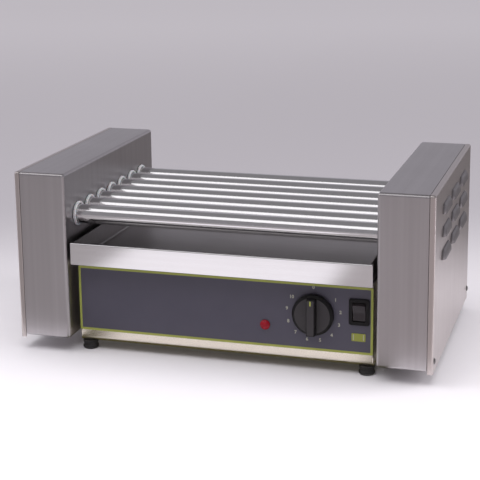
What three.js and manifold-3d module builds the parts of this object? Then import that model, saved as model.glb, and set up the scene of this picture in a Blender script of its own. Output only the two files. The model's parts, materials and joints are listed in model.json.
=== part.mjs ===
// Hot dog roller grill: two sheet-steel side housings carry seven heated rollers over a drip tray
// that slides out to the front. The base between them holds the controls, the right housing holds
// the chain drive and the left one holds the ends of the heater rods.
// Millimetres; +X to the user's right, +Y to the back, +Z up; the origin is on the table, under
// the middle of the machine.
import * as THREE from 'three';
import { mergeVertices } from 'three/addons/utils/BufferGeometryUtils.js';
import Module from 'manifold-3d';

const wasm = await Module();
wasm.setup();

// Whole machine
const WIDTH = 545;
const DEPTH = 320;
const HEIGHT = 240;
const SHEET = 1.2;
const GAP = 0.3;
const FRONT = -DEPTH / 2;
const BACK = DEPTH / 2;
const OUTSIDE = WIDTH / 2;

// Side housings and their covers
const HOUSING_WIDTH = 70;
const HOUSING_BOTTOM = 20;
const WALL = OUTSIDE - HOUSING_WIDTH;
const COVER_RETURN = 7.5;
const COVER_DROP = 3;
const SEAM = OUTSIDE - COVER_RETURN;
const FLANGE_DEPTH = 7;
const FLANGE_REACH = OUTSIDE - SHEET - 0.8;
const SCREW_Y = 151;
const SCREW_Z = 32;
const SCREW_RADIUS = 1.8;
const SCREW_SHANK = 4;
const SCREW_HEAD = { radius: 3.6, height: 1.7 };
const SCREW_TAB = { half: 8, bottom: 22, top: 41 };

// Louvres pressed out of each cover
const LOUVRE_ROWS = [152, 181, 210];
const LOUVRE_STARTS = [-104, -28, 48];
const LOUVRE_LENGTH = 60;
const LOUVRE_RISE = 6;
const LOUVRE_DEPTH = 5;

// Rollers, and the bushes they run in
const ROLLERS = 7;
const CHAIN_PITCH = 6.35;
const ROLLER_PITCH = 6 * CHAIN_PITCH;
const FIRST_ROLLER_Y = -120.5;
const ROLLER_Z = 180;
const ROLLER_RADIUS = 12.5;
const ROLLER_BORE = 11.3;
const ROLLER_SIDES = 20;
const ROLLER_LEFT = -211;
const ROLLER_RIGHT = 208.5;
const PLUG_FACE = 197;
const STUB_RADIUS = 6;
const STUB_END = 222;
const BUSH_SIDES = 12;
const FIT = 0.1;
const BUSH_HUB = 14.4;
const BUSH_FLANGE = 16.2;
const BUSH_FLANGE_DEPTH = 3.4;
const BUSH_HUB_DEPTH = 4.4;

// Chain drive in the right housing
const SPROCKET_TEETH = 12;
const PITCH_RADIUS = CHAIN_PITCH / (2 * Math.sin(Math.PI / SPROCKET_TEETH));
const TIP_RADIUS = PITCH_RADIUS + 1.6;
const ROOT_RADIUS = PITCH_RADIUS - 1.65;
const TOOTH_WIDTH = 2.8;
const WHEEL_SIDES = 20;
const HUB_RADIUS = 8.5;
const HUB_WIDTH = 8;
const HUB_SIDES = 8;
const CHAIN_X = 215.5;
const CHAIN_HALF_HEIGHT = 2.9;
const CHAIN_WIDTH = 5.2;
const MOTOR_Y = -6.2;
const MOTOR_Z = 92;
const MOTOR_SHAFT = { radius: 4, reach: 14, sides: 12 };
const BRACKET_X = 222.8;
const BRACKET = { thickness: 1.5, half: 38, foot: 32, bottom: 48, top: 128, bearing: 8 };
const GEARBOX = { depth: 17, half: 32, below: 28, above: 32 };
const MOTOR_CAN = { radius: 24, rise: 3, end: 40 };
const MOTOR_TERMINALS = { from: 20, to: 34, half: 9, bottom: 22, top: 34 };

// Heater rods, and the bar that holds them in the left housing
const HEATER_BAR = { near: -230.5, far: -233, half: 9, overhang: 22, leg: 1.5 };
const HEATER_ROD = { radius: 4, end: -244, tip: 8, sides: 8 };

// Base, deck and tray
const BASE_FRONT = -140;
const BASE_BACK = 149;
const BASE_BOTTOM = 12;
const BASE_STEP_Y = -118;
const BASE_HALF = 195.7;
const DECK_TOP = 121.2;
const TRAY_BACK = 140;
const TRAY_HALF = 195;
const TRAY_LIP_HALF = 198;
const TRAY_FLOOR = DECK_TOP + GAP;
const TRAY_TOP = 150;

// Controls on the front panel
const PANEL_BACK = BASE_FRONT + SHEET;
const DECAL = { half: 195.4, bottom: 28, top: 115, thickness: 0.4 };
const DECAL_FRONT = BASE_FRONT - GAP - DECAL.thickness;
const KNOB = { x: 120, z: 75.5, radius: 26.5, skirt: -146.5, crown: -149.5, front: -159.4 };
const KNOB_GRIP = { half: 5.5, reach: 23.5 };
const LAMP = { x: 57.5, z: 56.5, radius: 6.4, body: 4.6, rim: 1.6, shoulder: 4, front: 5, depth: 22 };
const SWITCH = { x: 178, z: 83, width: 26, height: 34, bezel: 2.2 };
const SWITCH_BODY = { width: 21, height: 29, depth: 24 };
const SWITCH_OPENING = { width: 17, height: 25, depth: 15 };
const ROCKER = { pivot: -139, half: 8.1, face: -5.2, waist: -3, back: 3, end: 10.6, heel: 11.2 };
const ROCKER_TILT = THREE.MathUtils.degToRad(12);
const LABEL = { x: 177.2, z: 50, width: 17.5, height: 10, thickness: 0.4 };
const REGULATOR = { half: 17, depth: 27, bush: 5, shaft: 3, end: -154 };

// Feet and cord gland
const FOOT = { x: 186, y: 130, radius: 10.3, heel: 2, stud: 3, studTop: 7 };
const GLAND = { x: -150, z: 48, radius: 8.5, bore: 4, collar: 11, flange: 4, nose: 7, depth: 14 };

// Terminal block on the floor of the base
const BLOCK = { left: -166, right: -114, front: 112, back: 132, height: 12 };
const POST = { count: 4, pitch: 12, width: 8, inset: 3, height: 22 };

const COLOURS = {
  steel: 0x8c8a8b,
  chrome: 0xd8d6da,
  decal: 0x4d4a54,
  lime: 0x969b3c,
  black: 0x1b1a1c,
  ptfe: 0xcfd0d2,
  red: 0x8c1428,
  zinc: 0x9c9c98,
  ceramic: 0xe2dfd6,
};

const rollerY = (index) => FIRST_ROLLER_Y + index * ROLLER_PITCH;
const circumscribed = (radius, sides) => radius / Math.cos(Math.PI / sides);

// A span of X measured outwards from the middle, on the right (side 1) or the left (side -1).
function span(side, near, far) {
  return side > 0 ? [near, far] : [-far, -near];
}

// Merges shared vertices, drops the slivers at a lathe's poles and turns all faces outwards.
function closed(geometry) {
  const source = new THREE.BufferGeometry();
  source.setAttribute('position', geometry.getAttribute('position'));
  source.setIndex(geometry.getIndex());
  const merged = mergeVertices(source, 1e-4);
  const place = merged.getAttribute('position');
  const index = merged.getIndex().array;
  const corners = [new THREE.Vector3(), new THREE.Vector3(), new THREE.Vector3()];
  const kept = [];
  let volume = 0;
  for (let i = 0; i < index.length; i += 3) {
    const [a, b, c] = index.slice(i, i + 3);
    if (a === b || b === c || c === a) continue;
    [a, b, c].forEach((vertex, n) => corners[n].fromBufferAttribute(place, vertex));
    volume += corners[0].dot(corners[1].cross(corners[2]));
    kept.push(a, b, c);
  }
  if (volume < 0) kept.reverse();
  merged.setIndex(kept);
  return merged;
}

function solid(geometry) {
  const merged = closed(geometry);
  const vertProperties = new Float32Array(merged.getAttribute('position').array);
  const triVerts = new Uint32Array(merged.getIndex().array);
  return new wasm.Manifold(new wasm.Mesh({ numProp: 3, vertProperties, triVerts }));
}

function surface(shape) {
  if (shape instanceof THREE.BufferGeometry) return closed(shape);
  const { vertProperties, triVerts } = shape.getMesh();
  const geometry = new THREE.BufferGeometry();
  geometry.setAttribute('position', new THREE.BufferAttribute(vertProperties, 3));
  geometry.setIndex(new THREE.BufferAttribute(triVerts, 1));
  return geometry;
}

const join = (first, ...others) => others.reduce((whole, next) => whole.add(next), first);
const cut = (first, ...others) => others.reduce((whole, next) => whole.subtract(next), first);

function box([x0, x1], [y0, y1], [z0, z1]) {
  const geometry = new THREE.BoxGeometry(x1 - x0, y1 - y0, z1 - z0);
  geometry.translate((x0 + x1) / 2, (y0 + y1) / 2, (z0 + z1) / 2);
  return solid(geometry);
}

// Turns a profile of [radius, distance] points about the X, Y or Z axis.
function turned(axis, profile, sides) {
  const points = profile.map(([radius, distance]) => new THREE.Vector2(radius, distance));
  const geometry = new THREE.LatheGeometry(points, sides);
  if (axis === 'x') geometry.rotateZ(-Math.PI / 2);
  if (axis === 'z') geometry.rotateX(Math.PI / 2);
  return geometry;
}

function rod(axis, radius, from, to, sides, [x, y, z] = [0, 0, 0]) {
  const geometry = turned(axis, [[0, from], [radius, from], [radius, to], [0, to]], sides);
  geometry.translate(x, y, z);
  return solid(geometry);
}

// Extrudes a shape drawn in Y and Z along X.
function prismX(shape, from, to, curveSegments = 6) {
  const options = { depth: to - from, bevelEnabled: false, curveSegments };
  const geometry = new THREE.ExtrudeGeometry(shape, options);
  const axes = [new THREE.Vector3(0, 1, 0), new THREE.Vector3(0, 0, 1), new THREE.Vector3(1, 0, 0)];
  geometry.applyMatrix4(new THREE.Matrix4().makeBasis(...axes));
  geometry.translate(from, 0, 0);
  return geometry;
}

// Extrudes a shape drawn in X and Z along Y.
function prismY(shape, from, to, curveSegments = 6) {
  const options = { depth: to - from, bevelEnabled: false, curveSegments };
  const geometry = new THREE.ExtrudeGeometry(shape, options);
  geometry.rotateX(Math.PI / 2);
  geometry.translate(0, to, 0);
  return geometry;
}

function rectangle(x0, x1, y0, y1) {
  const corners = [[x0, y0], [x1, y0], [x1, y1], [x0, y1]];
  return new THREE.Shape(corners.map(([x, y]) => new THREE.Vector2(x, y)));
}

function circle(x, y, radius) {
  const path = new THREE.Path();
  path.absarc(x, y, radius, 0, 2 * Math.PI, true);
  return path;
}

const machine = new THREE.Group();

function add(name, shape, colour, roughness, metalness, position = [0, 0, 0]) {
  const material = new THREE.MeshStandardMaterial({ color: colour, roughness, metalness });
  const mesh = new THREE.Mesh(surface(shape), material);
  mesh.name = name;
  mesh.position.set(...position);
  machine.add(mesh);
  return mesh;
}

const addSteel = (name, shape, position) => add(name, shape, COLOURS.steel, 0.35, 1, position);
const addBlack = (name, shape, position) => add(name, shape, COLOURS.black, 0.45, 0, position);

// A four-sided frame of sheet that follows the housing's outline, set in by `inset`.
function outlineRing(side, near, far, inset, thickness) {
  const ring = (grow, reach) => box(
    span(side, near - reach, far + reach),
    [FRONT + grow, BACK - grow],
    [HOUSING_BOTTOM + grow, HEIGHT - grow],
  );
  return cut(ring(inset, 0), ring(inset + thickness, 1));
}

function housing(side) {
  const shell = outlineRing(side, WALL, SEAM, 0, SHEET);
  const outline = [[FRONT, BACK], [HOUSING_BOTTOM, HEIGHT]];
  const innerWall = box(span(side, WALL, WALL + SHEET), ...outline);
  const step = outlineRing(side, SEAM - FLANGE_DEPTH, SEAM - GAP, SHEET / 2, 1.5 * SHEET);
  const flange = outlineRing(side, SEAM - FLANGE_DEPTH, FLANGE_REACH, SHEET + GAP, SHEET);
  const tabs = [-1, 1].map((end) => {
    const y = span(end, SCREW_Y - SCREW_TAB.half, BACK - 2 * SHEET);
    const z = [SCREW_TAB.bottom, SCREW_TAB.top];
    return box(span(side, FLANGE_REACH - SHEET, FLANGE_REACH), y, z);
  });
  const bushHoles = Array.from({ length: ROLLERS }, (_, index) => {
    const radius = BUSH_HUB + 0.4;
    const [from, to] = span(side, WALL - 1, WALL + SHEET + 1);
    return rod('x', radius, from, to, BUSH_SIDES, [0, rollerY(index), ROLLER_Z]);
  });
  return cut(join(shell, innerWall, step, flange, ...tabs), ...bushHoles, ...screwHoles(side));
}

function screwHoles(side) {
  const [from, to] = span(side, FLANGE_REACH - SCREW_SHANK, OUTSIDE + SCREW_SHANK);
  const radius = SCREW_RADIUS + 0.4;
  return [-1, 1].map((end) => rod('x', radius, from, to, 8, [0, end * SCREW_Y, SCREW_Z]));
}

// A louvre's section in X and Z, on the cover's outer face, `inset` inside its skin.
function louvreSection(side, z, inset) {
  const rise = LOUVRE_RISE - inset;
  const depth = LOUVRE_DEPTH - inset;
  const root = inset > 0 ? 2 * SHEET : SHEET / 2;
  const foot = inset > 0 ? LOUVRE_RISE + SHEET : LOUVRE_RISE;
  const arc = [0, 1, 2, 3].map((step) => {
    const angle = (step / 3) * (Math.PI / 2);
    return [depth * Math.sin(angle), z + rise * (2 * Math.cos(angle) - 1)];
  });
  const points = [[-root, z + rise], ...arc, [depth, z - foot], [-root, z - foot]];
  return new THREE.Shape(points.map(([x, y]) => new THREE.Vector2(side * (OUTSIDE + x), y)));
}

function cover(side) {
  const skin = [[FRONT, BACK], [HOUSING_BOTTOM - COVER_DROP, HEIGHT]];
  const hollow = box(
    span(side, SEAM, OUTSIDE - SHEET),
    [FRONT + SHEET, BACK - SHEET],
    [0, HEIGHT - SHEET],
  );
  const pan = cut(box(span(side, SEAM + GAP, OUTSIDE), ...skin), hollow);
  const hoods = [];
  const mouths = [];
  for (const z of LOUVRE_ROWS) {
    for (const start of LOUVRE_STARTS) {
      const end = start + LOUVRE_LENGTH;
      hoods.push(solid(prismY(louvreSection(side, z, 0), start, end)));
      mouths.push(solid(prismY(louvreSection(side, z, SHEET), start + SHEET, end - SHEET)));
    }
  }
  return cut(join(pan, ...hoods), ...mouths, ...screwHoles(side));
}

function coverScrew(side) {
  const seat = OUTSIDE + GAP / 3;
  const { radius, height } = SCREW_HEAD;
  const profile = [
    [0, FLANGE_REACH - SCREW_SHANK],
    [SCREW_RADIUS, FLANGE_REACH - SCREW_SHANK],
    [SCREW_RADIUS, seat],
    [radius, seat],
    [0.8 * radius, seat + height],
    [0, seat + height],
  ];
  return turned('x', profile.map(([r, x]) => [r, side * x]), 10);
}

function roller() {
  return turned('x', [
    [0, PLUG_FACE],
    [ROLLER_BORE, PLUG_FACE],
    [ROLLER_BORE, ROLLER_LEFT],
    [ROLLER_RADIUS, ROLLER_LEFT],
    [ROLLER_RADIUS, ROLLER_RIGHT],
    [STUB_RADIUS, ROLLER_RIGHT],
    [STUB_RADIUS, STUB_END],
    [0, STUB_END],
  ], ROLLER_SIDES);
}

function bush(side) {
  const bore = circumscribed(ROLLER_RADIUS + FIT, BUSH_SIDES);
  const seat = WALL - GAP;
  const profile = [
    [bore, seat - BUSH_FLANGE_DEPTH],
    [BUSH_FLANGE, seat - BUSH_FLANGE_DEPTH],
    [BUSH_FLANGE, seat],
    [BUSH_HUB, seat],
    [BUSH_HUB, seat + BUSH_HUB_DEPTH],
    [bore, seat + BUSH_HUB_DEPTH],
    [bore, seat - BUSH_FLANGE_DEPTH],
  ];
  return turned('x', profile.map(([r, x]) => [r, side * x]), BUSH_SIDES);
}

// Toothed outline in Y and Z.
function toothedOutline() {
  const step = (2 * Math.PI) / SPROCKET_TEETH;
  const tipHalf = 0.1 * step;
  const points = [];
  for (let tooth = 0; tooth < SPROCKET_TEETH; tooth += 1) {
    const middle = tooth * step;
    for (const [radius, angle] of [
      [TIP_RADIUS, middle - tipHalf],
      [TIP_RADIUS, middle + tipHalf],
      [ROOT_RADIUS, middle + step / 2],
    ]) {
      points.push(new THREE.Vector2(radius * Math.cos(angle), radius * Math.sin(angle)));
    }
  }
  return new THREE.Shape(points);
}

function hubbedWheel() {
  const teeth = solid(prismX(toothedOutline(), -TOOTH_WIDTH / 2, TOOTH_WIDTH / 2));
  return join(teeth, rod('x', HUB_RADIUS, -HUB_WIDTH / 2, HUB_WIDTH / 2, HUB_SIDES));
}

function sprocket() {
  const boreRadius = circumscribed(STUB_RADIUS + FIT, HUB_SIDES);
  return cut(hubbedWheel(), rod('x', boreRadius, -HUB_WIDTH, HUB_WIDTH, HUB_SIDES));
}

function motorSprocket() {
  const { radius, reach, sides } = MOTOR_SHAFT;
  const shaft = rod('x', radius, -HUB_WIDTH / 2 - 2, BRACKET_X - CHAIN_X + reach, sides);
  return join(hubbedWheel(), shaft);
}

// The closed chain line round the front, rear and motor sprockets, `offset` outside the pitch line.
function chainLine(path, offset) {
  const wheels = [
    [rollerY(0), ROLLER_Z],
    [MOTOR_Y, MOTOR_Z],
    [rollerY(ROLLERS - 1), ROLLER_Z],
  ];
  const normal = ([y0, z0], [y1, z1]) => Math.atan2(y0 - y1, z1 - z0);
  wheels.forEach((wheel, index) => {
    const before = wheels[(index + 2) % 3];
    const after = wheels[(index + 1) % 3];
    const radius = PITCH_RADIUS + offset;
    path.absarc(...wheel, radius, normal(before, wheel), normal(wheel, after), false);
  });
  return path;
}

// A closed band of side plates with cross bars between the wheels; the teeth turn in its slots.
function chain() {
  const band = chainLine(new THREE.Shape(), CHAIN_HALF_HEIGHT);
  band.holes.push(chainLine(new THREE.Path(), -CHAIN_HALF_HEIGHT));
  const half = CHAIN_WIDTH / 2;
  const loop = solid(prismX(band, CHAIN_X - half, CHAIN_X + half, 5));
  const wheels = Array.from({ length: ROLLERS }, (_, index) => [rollerY(index), ROLLER_Z]);
  wheels.push([MOTOR_Y, MOTOR_Z]);
  const reach = TOOTH_WIDTH / 2 + GAP;
  const radius = circumscribed(TIP_RADIUS + GAP, WHEEL_SIDES);
  const slots = wheels.map(([y, z]) => (
    rod('x', radius, CHAIN_X - reach, CHAIN_X + reach, WHEEL_SIDES, [0, y, z])
  ));
  return cut(loop, ...slots);
}

function motorBracket() {
  const { thickness, half, foot, bottom, top, bearing } = BRACKET;
  const seat = WALL + SHEET + GAP;
  const face = BRACKET_X + thickness;
  const y = [MOTOR_Y - half, MOTOR_Y + half];
  const plate = box([BRACKET_X, face], y, [bottom, top]);
  const shelf = box([seat, face], y, [bottom, bottom + thickness]);
  const flange = box([seat, seat + thickness], y, [foot, bottom + thickness]);
  const hole = rod('x', bearing, BRACKET_X - 1, face + 1, 12, [0, MOTOR_Y, MOTOR_Z]);
  return cut(join(plate, shelf, flange), hole);
}

function gearmotor() {
  const face = BRACKET_X + BRACKET.thickness + GAP;
  const about = (half) => [MOTOR_Y - half, MOTOR_Y + half];
  const { depth, half, below, above } = GEARBOX;
  const gearbox = box([face, face + depth], about(half), [MOTOR_Z - below, MOTOR_Z + above]);
  const canAt = [0, MOTOR_Y, MOTOR_Z + MOTOR_CAN.rise];
  const can = rod('x', MOTOR_CAN.radius, face + depth - 1, face + MOTOR_CAN.end, WHEEL_SIDES, canAt);
  const terminals = box(
    [face + MOTOR_TERMINALS.from, face + MOTOR_TERMINALS.to],
    about(MOTOR_TERMINALS.half),
    [MOTOR_Z + MOTOR_TERMINALS.bottom, MOTOR_Z + MOTOR_TERMINALS.top],
  );
  const { radius, reach, sides } = MOTOR_SHAFT;
  const boreRadius = circumscribed(radius + FIT, sides);
  const bore = rod('x', boreRadius, face - 1, face + reach - 1, sides, [0, MOTOR_Y, MOTOR_Z]);
  return cut(join(gearbox, can, terminals), bore);
}

// Heater rods stand still inside the rollers; one bar in the left housing holds all of them.
function heaterBank() {
  const { near, far, half, overhang, leg } = HEATER_BAR;
  const height = [ROLLER_Z - half, ROLLER_Z + half];
  const ends = [rollerY(0) - overhang, rollerY(ROLLERS - 1) + overhang];
  const bar = box([far, near], ends, height);
  const legs = ends.map((y, index) => {
    const thickness = index ? [y - leg, y] : [y, y + leg];
    return box([far, -WALL - SHEET - GAP], thickness, height);
  });
  const { radius, end, tip, sides } = HEATER_ROD;
  const rods = Array.from({ length: ROLLERS }, (_, index) => (
    rod('x', radius, end, PLUG_FACE - tip, sides, [0, rollerY(index), ROLLER_Z])
  ));
  return join(bar, ...legs, ...rods);
}

function basePan() {
  const wide = WALL - GAP;
  const top = DECK_TOP - SHEET - GAP;
  const floor = BASE_BOTTOM + SHEET;
  const back = [BASE_STEP_Y, BASE_BACK];
  const front = [PANEL_BACK + GAP, BASE_STEP_Y + 1];
  const outer = join(
    box([-wide, wide], back, [BASE_BOTTOM, top]),
    box([-BASE_HALF, BASE_HALF], front, [BASE_BOTTOM, top]),
  );
  const inner = join(
    box([SHEET - wide, wide - SHEET], [BASE_STEP_Y + SHEET, BASE_BACK + 1], [floor, top + 1]),
    box([SHEET - BASE_HALF, BASE_HALF - SHEET], [BASE_FRONT, BASE_STEP_Y + 2], [floor, top + 1]),
  );
  const studHoles = footPlaces().map(([x, y]) => (
    rod('z', FOOT.stud + 0.4, BASE_BOTTOM - 1, floor + 1, 8, [x, y, 0])
  ));
  return cut(outer, inner, ...studHoles);
}

function deck() {
  const wide = WALL - GAP;
  const level = [DECK_TOP - SHEET, DECK_TOP];
  return join(
    box([-wide, wide], [BASE_STEP_Y, BASE_BACK + 1.5], level),
    box([-BASE_HALF, BASE_HALF], [BASE_FRONT, BASE_STEP_Y + 1], level),
  );
}

// Openings for the lamp, the knob's shaft and the switch, the same in the panel and the decal.
function controlOpenings() {
  const { x, z } = SWITCH;
  const halfWidth = SWITCH_BODY.width / 2 + 0.4;
  const halfHeight = SWITCH_BODY.height / 2 + 0.4;
  return [
    circle(LAMP.x, LAMP.z, LAMP.body + 0.5),
    circle(KNOB.x, KNOB.z, REGULATOR.bush + 0.5),
    rectangle(x - halfWidth, x + halfWidth, z - halfHeight, z + halfHeight),
  ];
}

function pierced(left, right, bottom, top) {
  const shape = rectangle(left, right, bottom, top);
  shape.holes.push(...controlOpenings());
  return shape;
}

function frontPanel() {
  const face = pierced(-BASE_HALF, BASE_HALF, BASE_BOTTOM, DECK_TOP - SHEET - GAP);
  return prismY(face, BASE_FRONT, PANEL_BACK);
}

function decal() {
  const face = pierced(-DECAL.half, DECAL.half, DECAL.bottom, DECAL.top);
  return prismY(face, DECAL_FRONT, DECAL_FRONT + DECAL.thickness);
}

function powerLabel() {
  const { x, z, width, height, thickness } = LABEL;
  const back = DECAL_FRONT - GAP;
  return box(
    [x - width / 2, x + width / 2],
    [back - thickness, back],
    [z - height / 2, z + height / 2],
  );
}

function knob() {
  const back = DECAL_FRONT - 1;
  const { radius, skirt, crown, front } = KNOB;
  const body = solid(turned('y', [
    [0, back],
    [radius, back],
    [radius, skirt],
    [radius + crown - skirt, crown],
    [0, crown],
  ], 32));
  const { half, reach } = KNOB_GRIP;
  const grip = box([-half, half], [front, crown + 1], [-reach, reach]);
  const bore = rod('y', circumscribed(REGULATOR.shaft + FIT, 8), REGULATOR.end - 1, back + 1, 8);
  return cut(join(body, grip), bore);
}

function heatRegulator() {
  const at = [KNOB.x, 0, KNOB.z];
  const back = PANEL_BACK + GAP;
  const { half, depth, bush: bushRadius, shaft, end } = REGULATOR;
  return join(
    box([KNOB.x - half, KNOB.x + half], [back, back + depth], [KNOB.z - half, KNOB.z + half]),
    rod('y', bushRadius, DECAL_FRONT - 0.6, back + 1, 12, at),
    rod('y', shaft, end, back + 1, 8, at),
  );
}

function pilotLamp() {
  const seat = DECAL_FRONT - GAP;
  const { radius, body, rim, shoulder, front, depth } = LAMP;
  return turned('y', [
    [0, seat + depth],
    [body, seat + depth],
    [body, seat],
    [radius, seat],
    [radius, seat - rim],
    [0.8 * radius, seat - shoulder],
    [0, seat - front],
  ], 16);
}

function switchFrame() {
  const { x, z, width, height, bezel } = SWITCH;
  const seat = DECAL_FRONT - GAP;
  const block = (w, h, y) => box([x - w / 2, x + w / 2], y, [z - h / 2, z + h / 2]);
  const front = block(width, height, [seat - bezel, seat]);
  const body = block(SWITCH_BODY.width, SWITCH_BODY.height, [seat - 1, seat + SWITCH_BODY.depth]);
  const { width: openWidth, height: openHeight, depth } = SWITCH_OPENING;
  return cut(join(front, body), block(openWidth, openHeight, [seat - bezel - 1, seat + depth]));
}

// The rocker's side view, ends on a circle about its pivot so that it clears the frame.
function rocker() {
  const { half, face, waist, back, end, heel } = ROCKER;
  const outline = [[face, -end], [waist, 0], [face, end], [back, heel], [back, -heel]];
  const pivot = new THREE.Vector2(0, 0);
  const tilted = outline.map(([y, z]) => new THREE.Vector2(y, z).rotateAround(pivot, ROCKER_TILT));
  return prismX(new THREE.Shape(tilted), -half, half);
}

function rearPanel() {
  const half = WALL - GAP - SHEET - GAP;
  const shape = rectangle(-half, half, BASE_BOTTOM, DECK_TOP - SHEET - GAP);
  shape.holes.push(circle(GLAND.x, GLAND.z, GLAND.radius + 0.4));
  return prismY(shape, BASE_BACK + GAP, BASE_BACK + GAP + SHEET);
}

function cordGland() {
  const outer = BASE_BACK + GAP + SHEET + GAP;
  const { radius, bore, collar, flange, nose, depth } = GLAND;
  return turned('y', [
    [bore, outer - depth],
    [radius, outer - depth],
    [radius, outer],
    [collar, outer],
    [collar, outer + flange],
    [nose, outer + nose],
    [bore, outer + nose],
    [bore, outer - depth],
  ], 12);
}

function foot() {
  const { radius, heel, stud, studTop } = FOOT;
  return turned('z', [
    [0, 0],
    [radius - 0.8, 0],
    [radius, heel],
    [radius - 0.5, BASE_BOTTOM - GAP],
    [stud, BASE_BOTTOM - GAP],
    [stud, BASE_BOTTOM + studTop],
    [0, BASE_BOTTOM + studTop],
  ], 16);
}

function footPlaces() {
  const sides = [-1, 1];
  return sides.flatMap((end) => sides.map((side) => [side * FOOT.x, end * FOOT.y]));
}

function tray() {
  const pan = cut(
    box([-TRAY_HALF, TRAY_HALF], [FRONT + 1, TRAY_BACK], [TRAY_FLOOR, TRAY_TOP]),
    box(
      [SHEET - TRAY_HALF, TRAY_HALF - SHEET],
      [FRONT + SHEET, TRAY_BACK - SHEET],
      [TRAY_FLOOR + SHEET, TRAY_TOP + 1],
    ),
  );
  const lip = box([-TRAY_LIP_HALF, TRAY_LIP_HALF], [FRONT, FRONT + SHEET], [TRAY_FLOOR, TRAY_TOP]);
  const hem = box(
    [-TRAY_LIP_HALF, TRAY_LIP_HALF],
    [FRONT, FRONT + 2.5 * SHEET],
    [TRAY_TOP - SHEET, TRAY_TOP],
  );
  return join(pan, lip, hem);
}

function terminalBlock() {
  const { left, right, front, back, height } = BLOCK;
  const base = box([left, right], [front, back], [BASE_BOTTOM + SHEET + GAP, BASE_BOTTOM + height]);
  const posts = Array.from({ length: POST.count }, (_, index) => {
    const x = left + POST.pitch / 3 + POST.pitch * index;
    const z = [BASE_BOTTOM + height - 1, BASE_BOTTOM + POST.height];
    return box([x, x + POST.width], [front + POST.inset, back - POST.inset], z);
  });
  return join(base, ...posts);
}

function addHousings() {
  for (const [word, side] of [['left', -1], ['right', 1]]) {
    addSteel(`${word}_housing`, housing(side));
    addSteel(`${word}_cover`, cover(side));
    for (const [end, y] of [['front', -SCREW_Y], ['rear', SCREW_Y]]) {
      addSteel(`${word}_cover_screw_${end}`, coverScrew(side), [0, y, SCREW_Z]);
    }
  }
}

function addRollers() {
  for (let index = 0; index < ROLLERS; index += 1) {
    const number = index + 1;
    const axis = [0, rollerY(index), ROLLER_Z];
    add(`roller_${number}`, roller(), COLOURS.chrome, 0.12, 1, axis);
    add(`left_bush_${number}`, bush(-1), COLOURS.ptfe, 0.5, 0, axis);
    add(`right_bush_${number}`, bush(1), COLOURS.ptfe, 0.5, 0, axis);
    const place = [CHAIN_X, rollerY(index), ROLLER_Z];
    add(`sprocket_${number}`, sprocket(), COLOURS.zinc, 0.5, 1, place);
  }
}

function addDrive() {
  add('drive_chain', chain(), COLOURS.zinc, 0.55, 1);
  const place = [CHAIN_X, MOTOR_Y, MOTOR_Z];
  add('motor_sprocket', motorSprocket(), COLOURS.zinc, 0.5, 1, place);
  add('motor_bracket', motorBracket(), COLOURS.zinc, 0.5, 1);
  add('gearmotor', gearmotor(), COLOURS.zinc, 0.6, 1);
  addSteel('heater_bank', heaterBank());
}

function addBase() {
  addSteel('base_pan', basePan());
  addSteel('deck_plate', deck());
  addSteel('front_panel', frontPanel());
  addSteel('rear_panel', rearPanel());
  addSteel('drip_tray', tray());
  addBlack('cord_gland', cordGland(), [GLAND.x, 0, GLAND.z]);
  add('terminal_block', terminalBlock(), COLOURS.ceramic, 0.6, 0);
  footPlaces().forEach(([x, y]) => {
    const name = `foot_${y < 0 ? 'front' : 'rear'}_${x < 0 ? 'left' : 'right'}`;
    addBlack(name, foot(), [x, y, 0]);
  });
}

function addControls() {
  add('control_decal', decal(), COLOURS.decal, 0.4, 0);
  add('power_label', powerLabel(), COLOURS.lime, 0.45, 0);
  add('pilot_lamp', pilotLamp(), COLOURS.red, 0.15, 0, [LAMP.x, 0, LAMP.z]);
  add('heat_regulator', heatRegulator(), COLOURS.ceramic, 0.6, 0);
  addBlack('control_knob', knob(), [KNOB.x, 0, KNOB.z]);
  addBlack('switch_frame', switchFrame());
  addBlack('switch_rocker', rocker(), [SWITCH.x, ROCKER.pivot, SWITCH.z]);
}

addHousings();
addRollers();
addDrive();
addBase();
addControls();

export default machine;
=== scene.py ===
import json
import math

import bmesh
import bpy
from mathutils import Matrix, Vector


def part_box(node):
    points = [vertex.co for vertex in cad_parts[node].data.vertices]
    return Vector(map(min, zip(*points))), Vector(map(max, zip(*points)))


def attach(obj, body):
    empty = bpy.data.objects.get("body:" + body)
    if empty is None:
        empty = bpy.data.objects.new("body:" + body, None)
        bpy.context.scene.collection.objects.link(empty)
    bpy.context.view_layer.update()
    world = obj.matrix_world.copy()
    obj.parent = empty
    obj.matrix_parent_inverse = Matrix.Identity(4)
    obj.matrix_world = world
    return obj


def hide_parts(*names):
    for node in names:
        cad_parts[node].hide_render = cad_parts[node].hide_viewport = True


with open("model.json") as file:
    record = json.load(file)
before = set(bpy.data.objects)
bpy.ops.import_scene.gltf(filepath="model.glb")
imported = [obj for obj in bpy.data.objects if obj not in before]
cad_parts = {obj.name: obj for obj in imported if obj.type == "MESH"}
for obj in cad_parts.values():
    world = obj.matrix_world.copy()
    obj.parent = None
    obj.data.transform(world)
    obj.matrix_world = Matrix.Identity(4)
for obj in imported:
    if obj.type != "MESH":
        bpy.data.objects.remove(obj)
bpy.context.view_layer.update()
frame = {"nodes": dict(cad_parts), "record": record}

MM = 0.001
SIDES = (("left", -1), ("right", 1))
SHEET = 1.2 * MM
HAIR = 0.05 * MM
ROLLERS = 7
BUSH_HOLE = 14.7 * MM
LOUVRE_DEPTH = 5 * MM

# Depths of the base, measured along Y
BASE_FRONT = -118 * MM
PANEL_BACK = -118.3 * MM
PANEL_OPENING_HALF = 195.9 * MM

# Bends of the folded sheets
HOUSING_BEND = 4.0 * MM
COVER_BEND = 3.0 * MM
RIM_ROUND = 0.9 * MM
PANEL_BEND = 8.0 * MM
TRAY_BEND = 4.0 * MM

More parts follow.
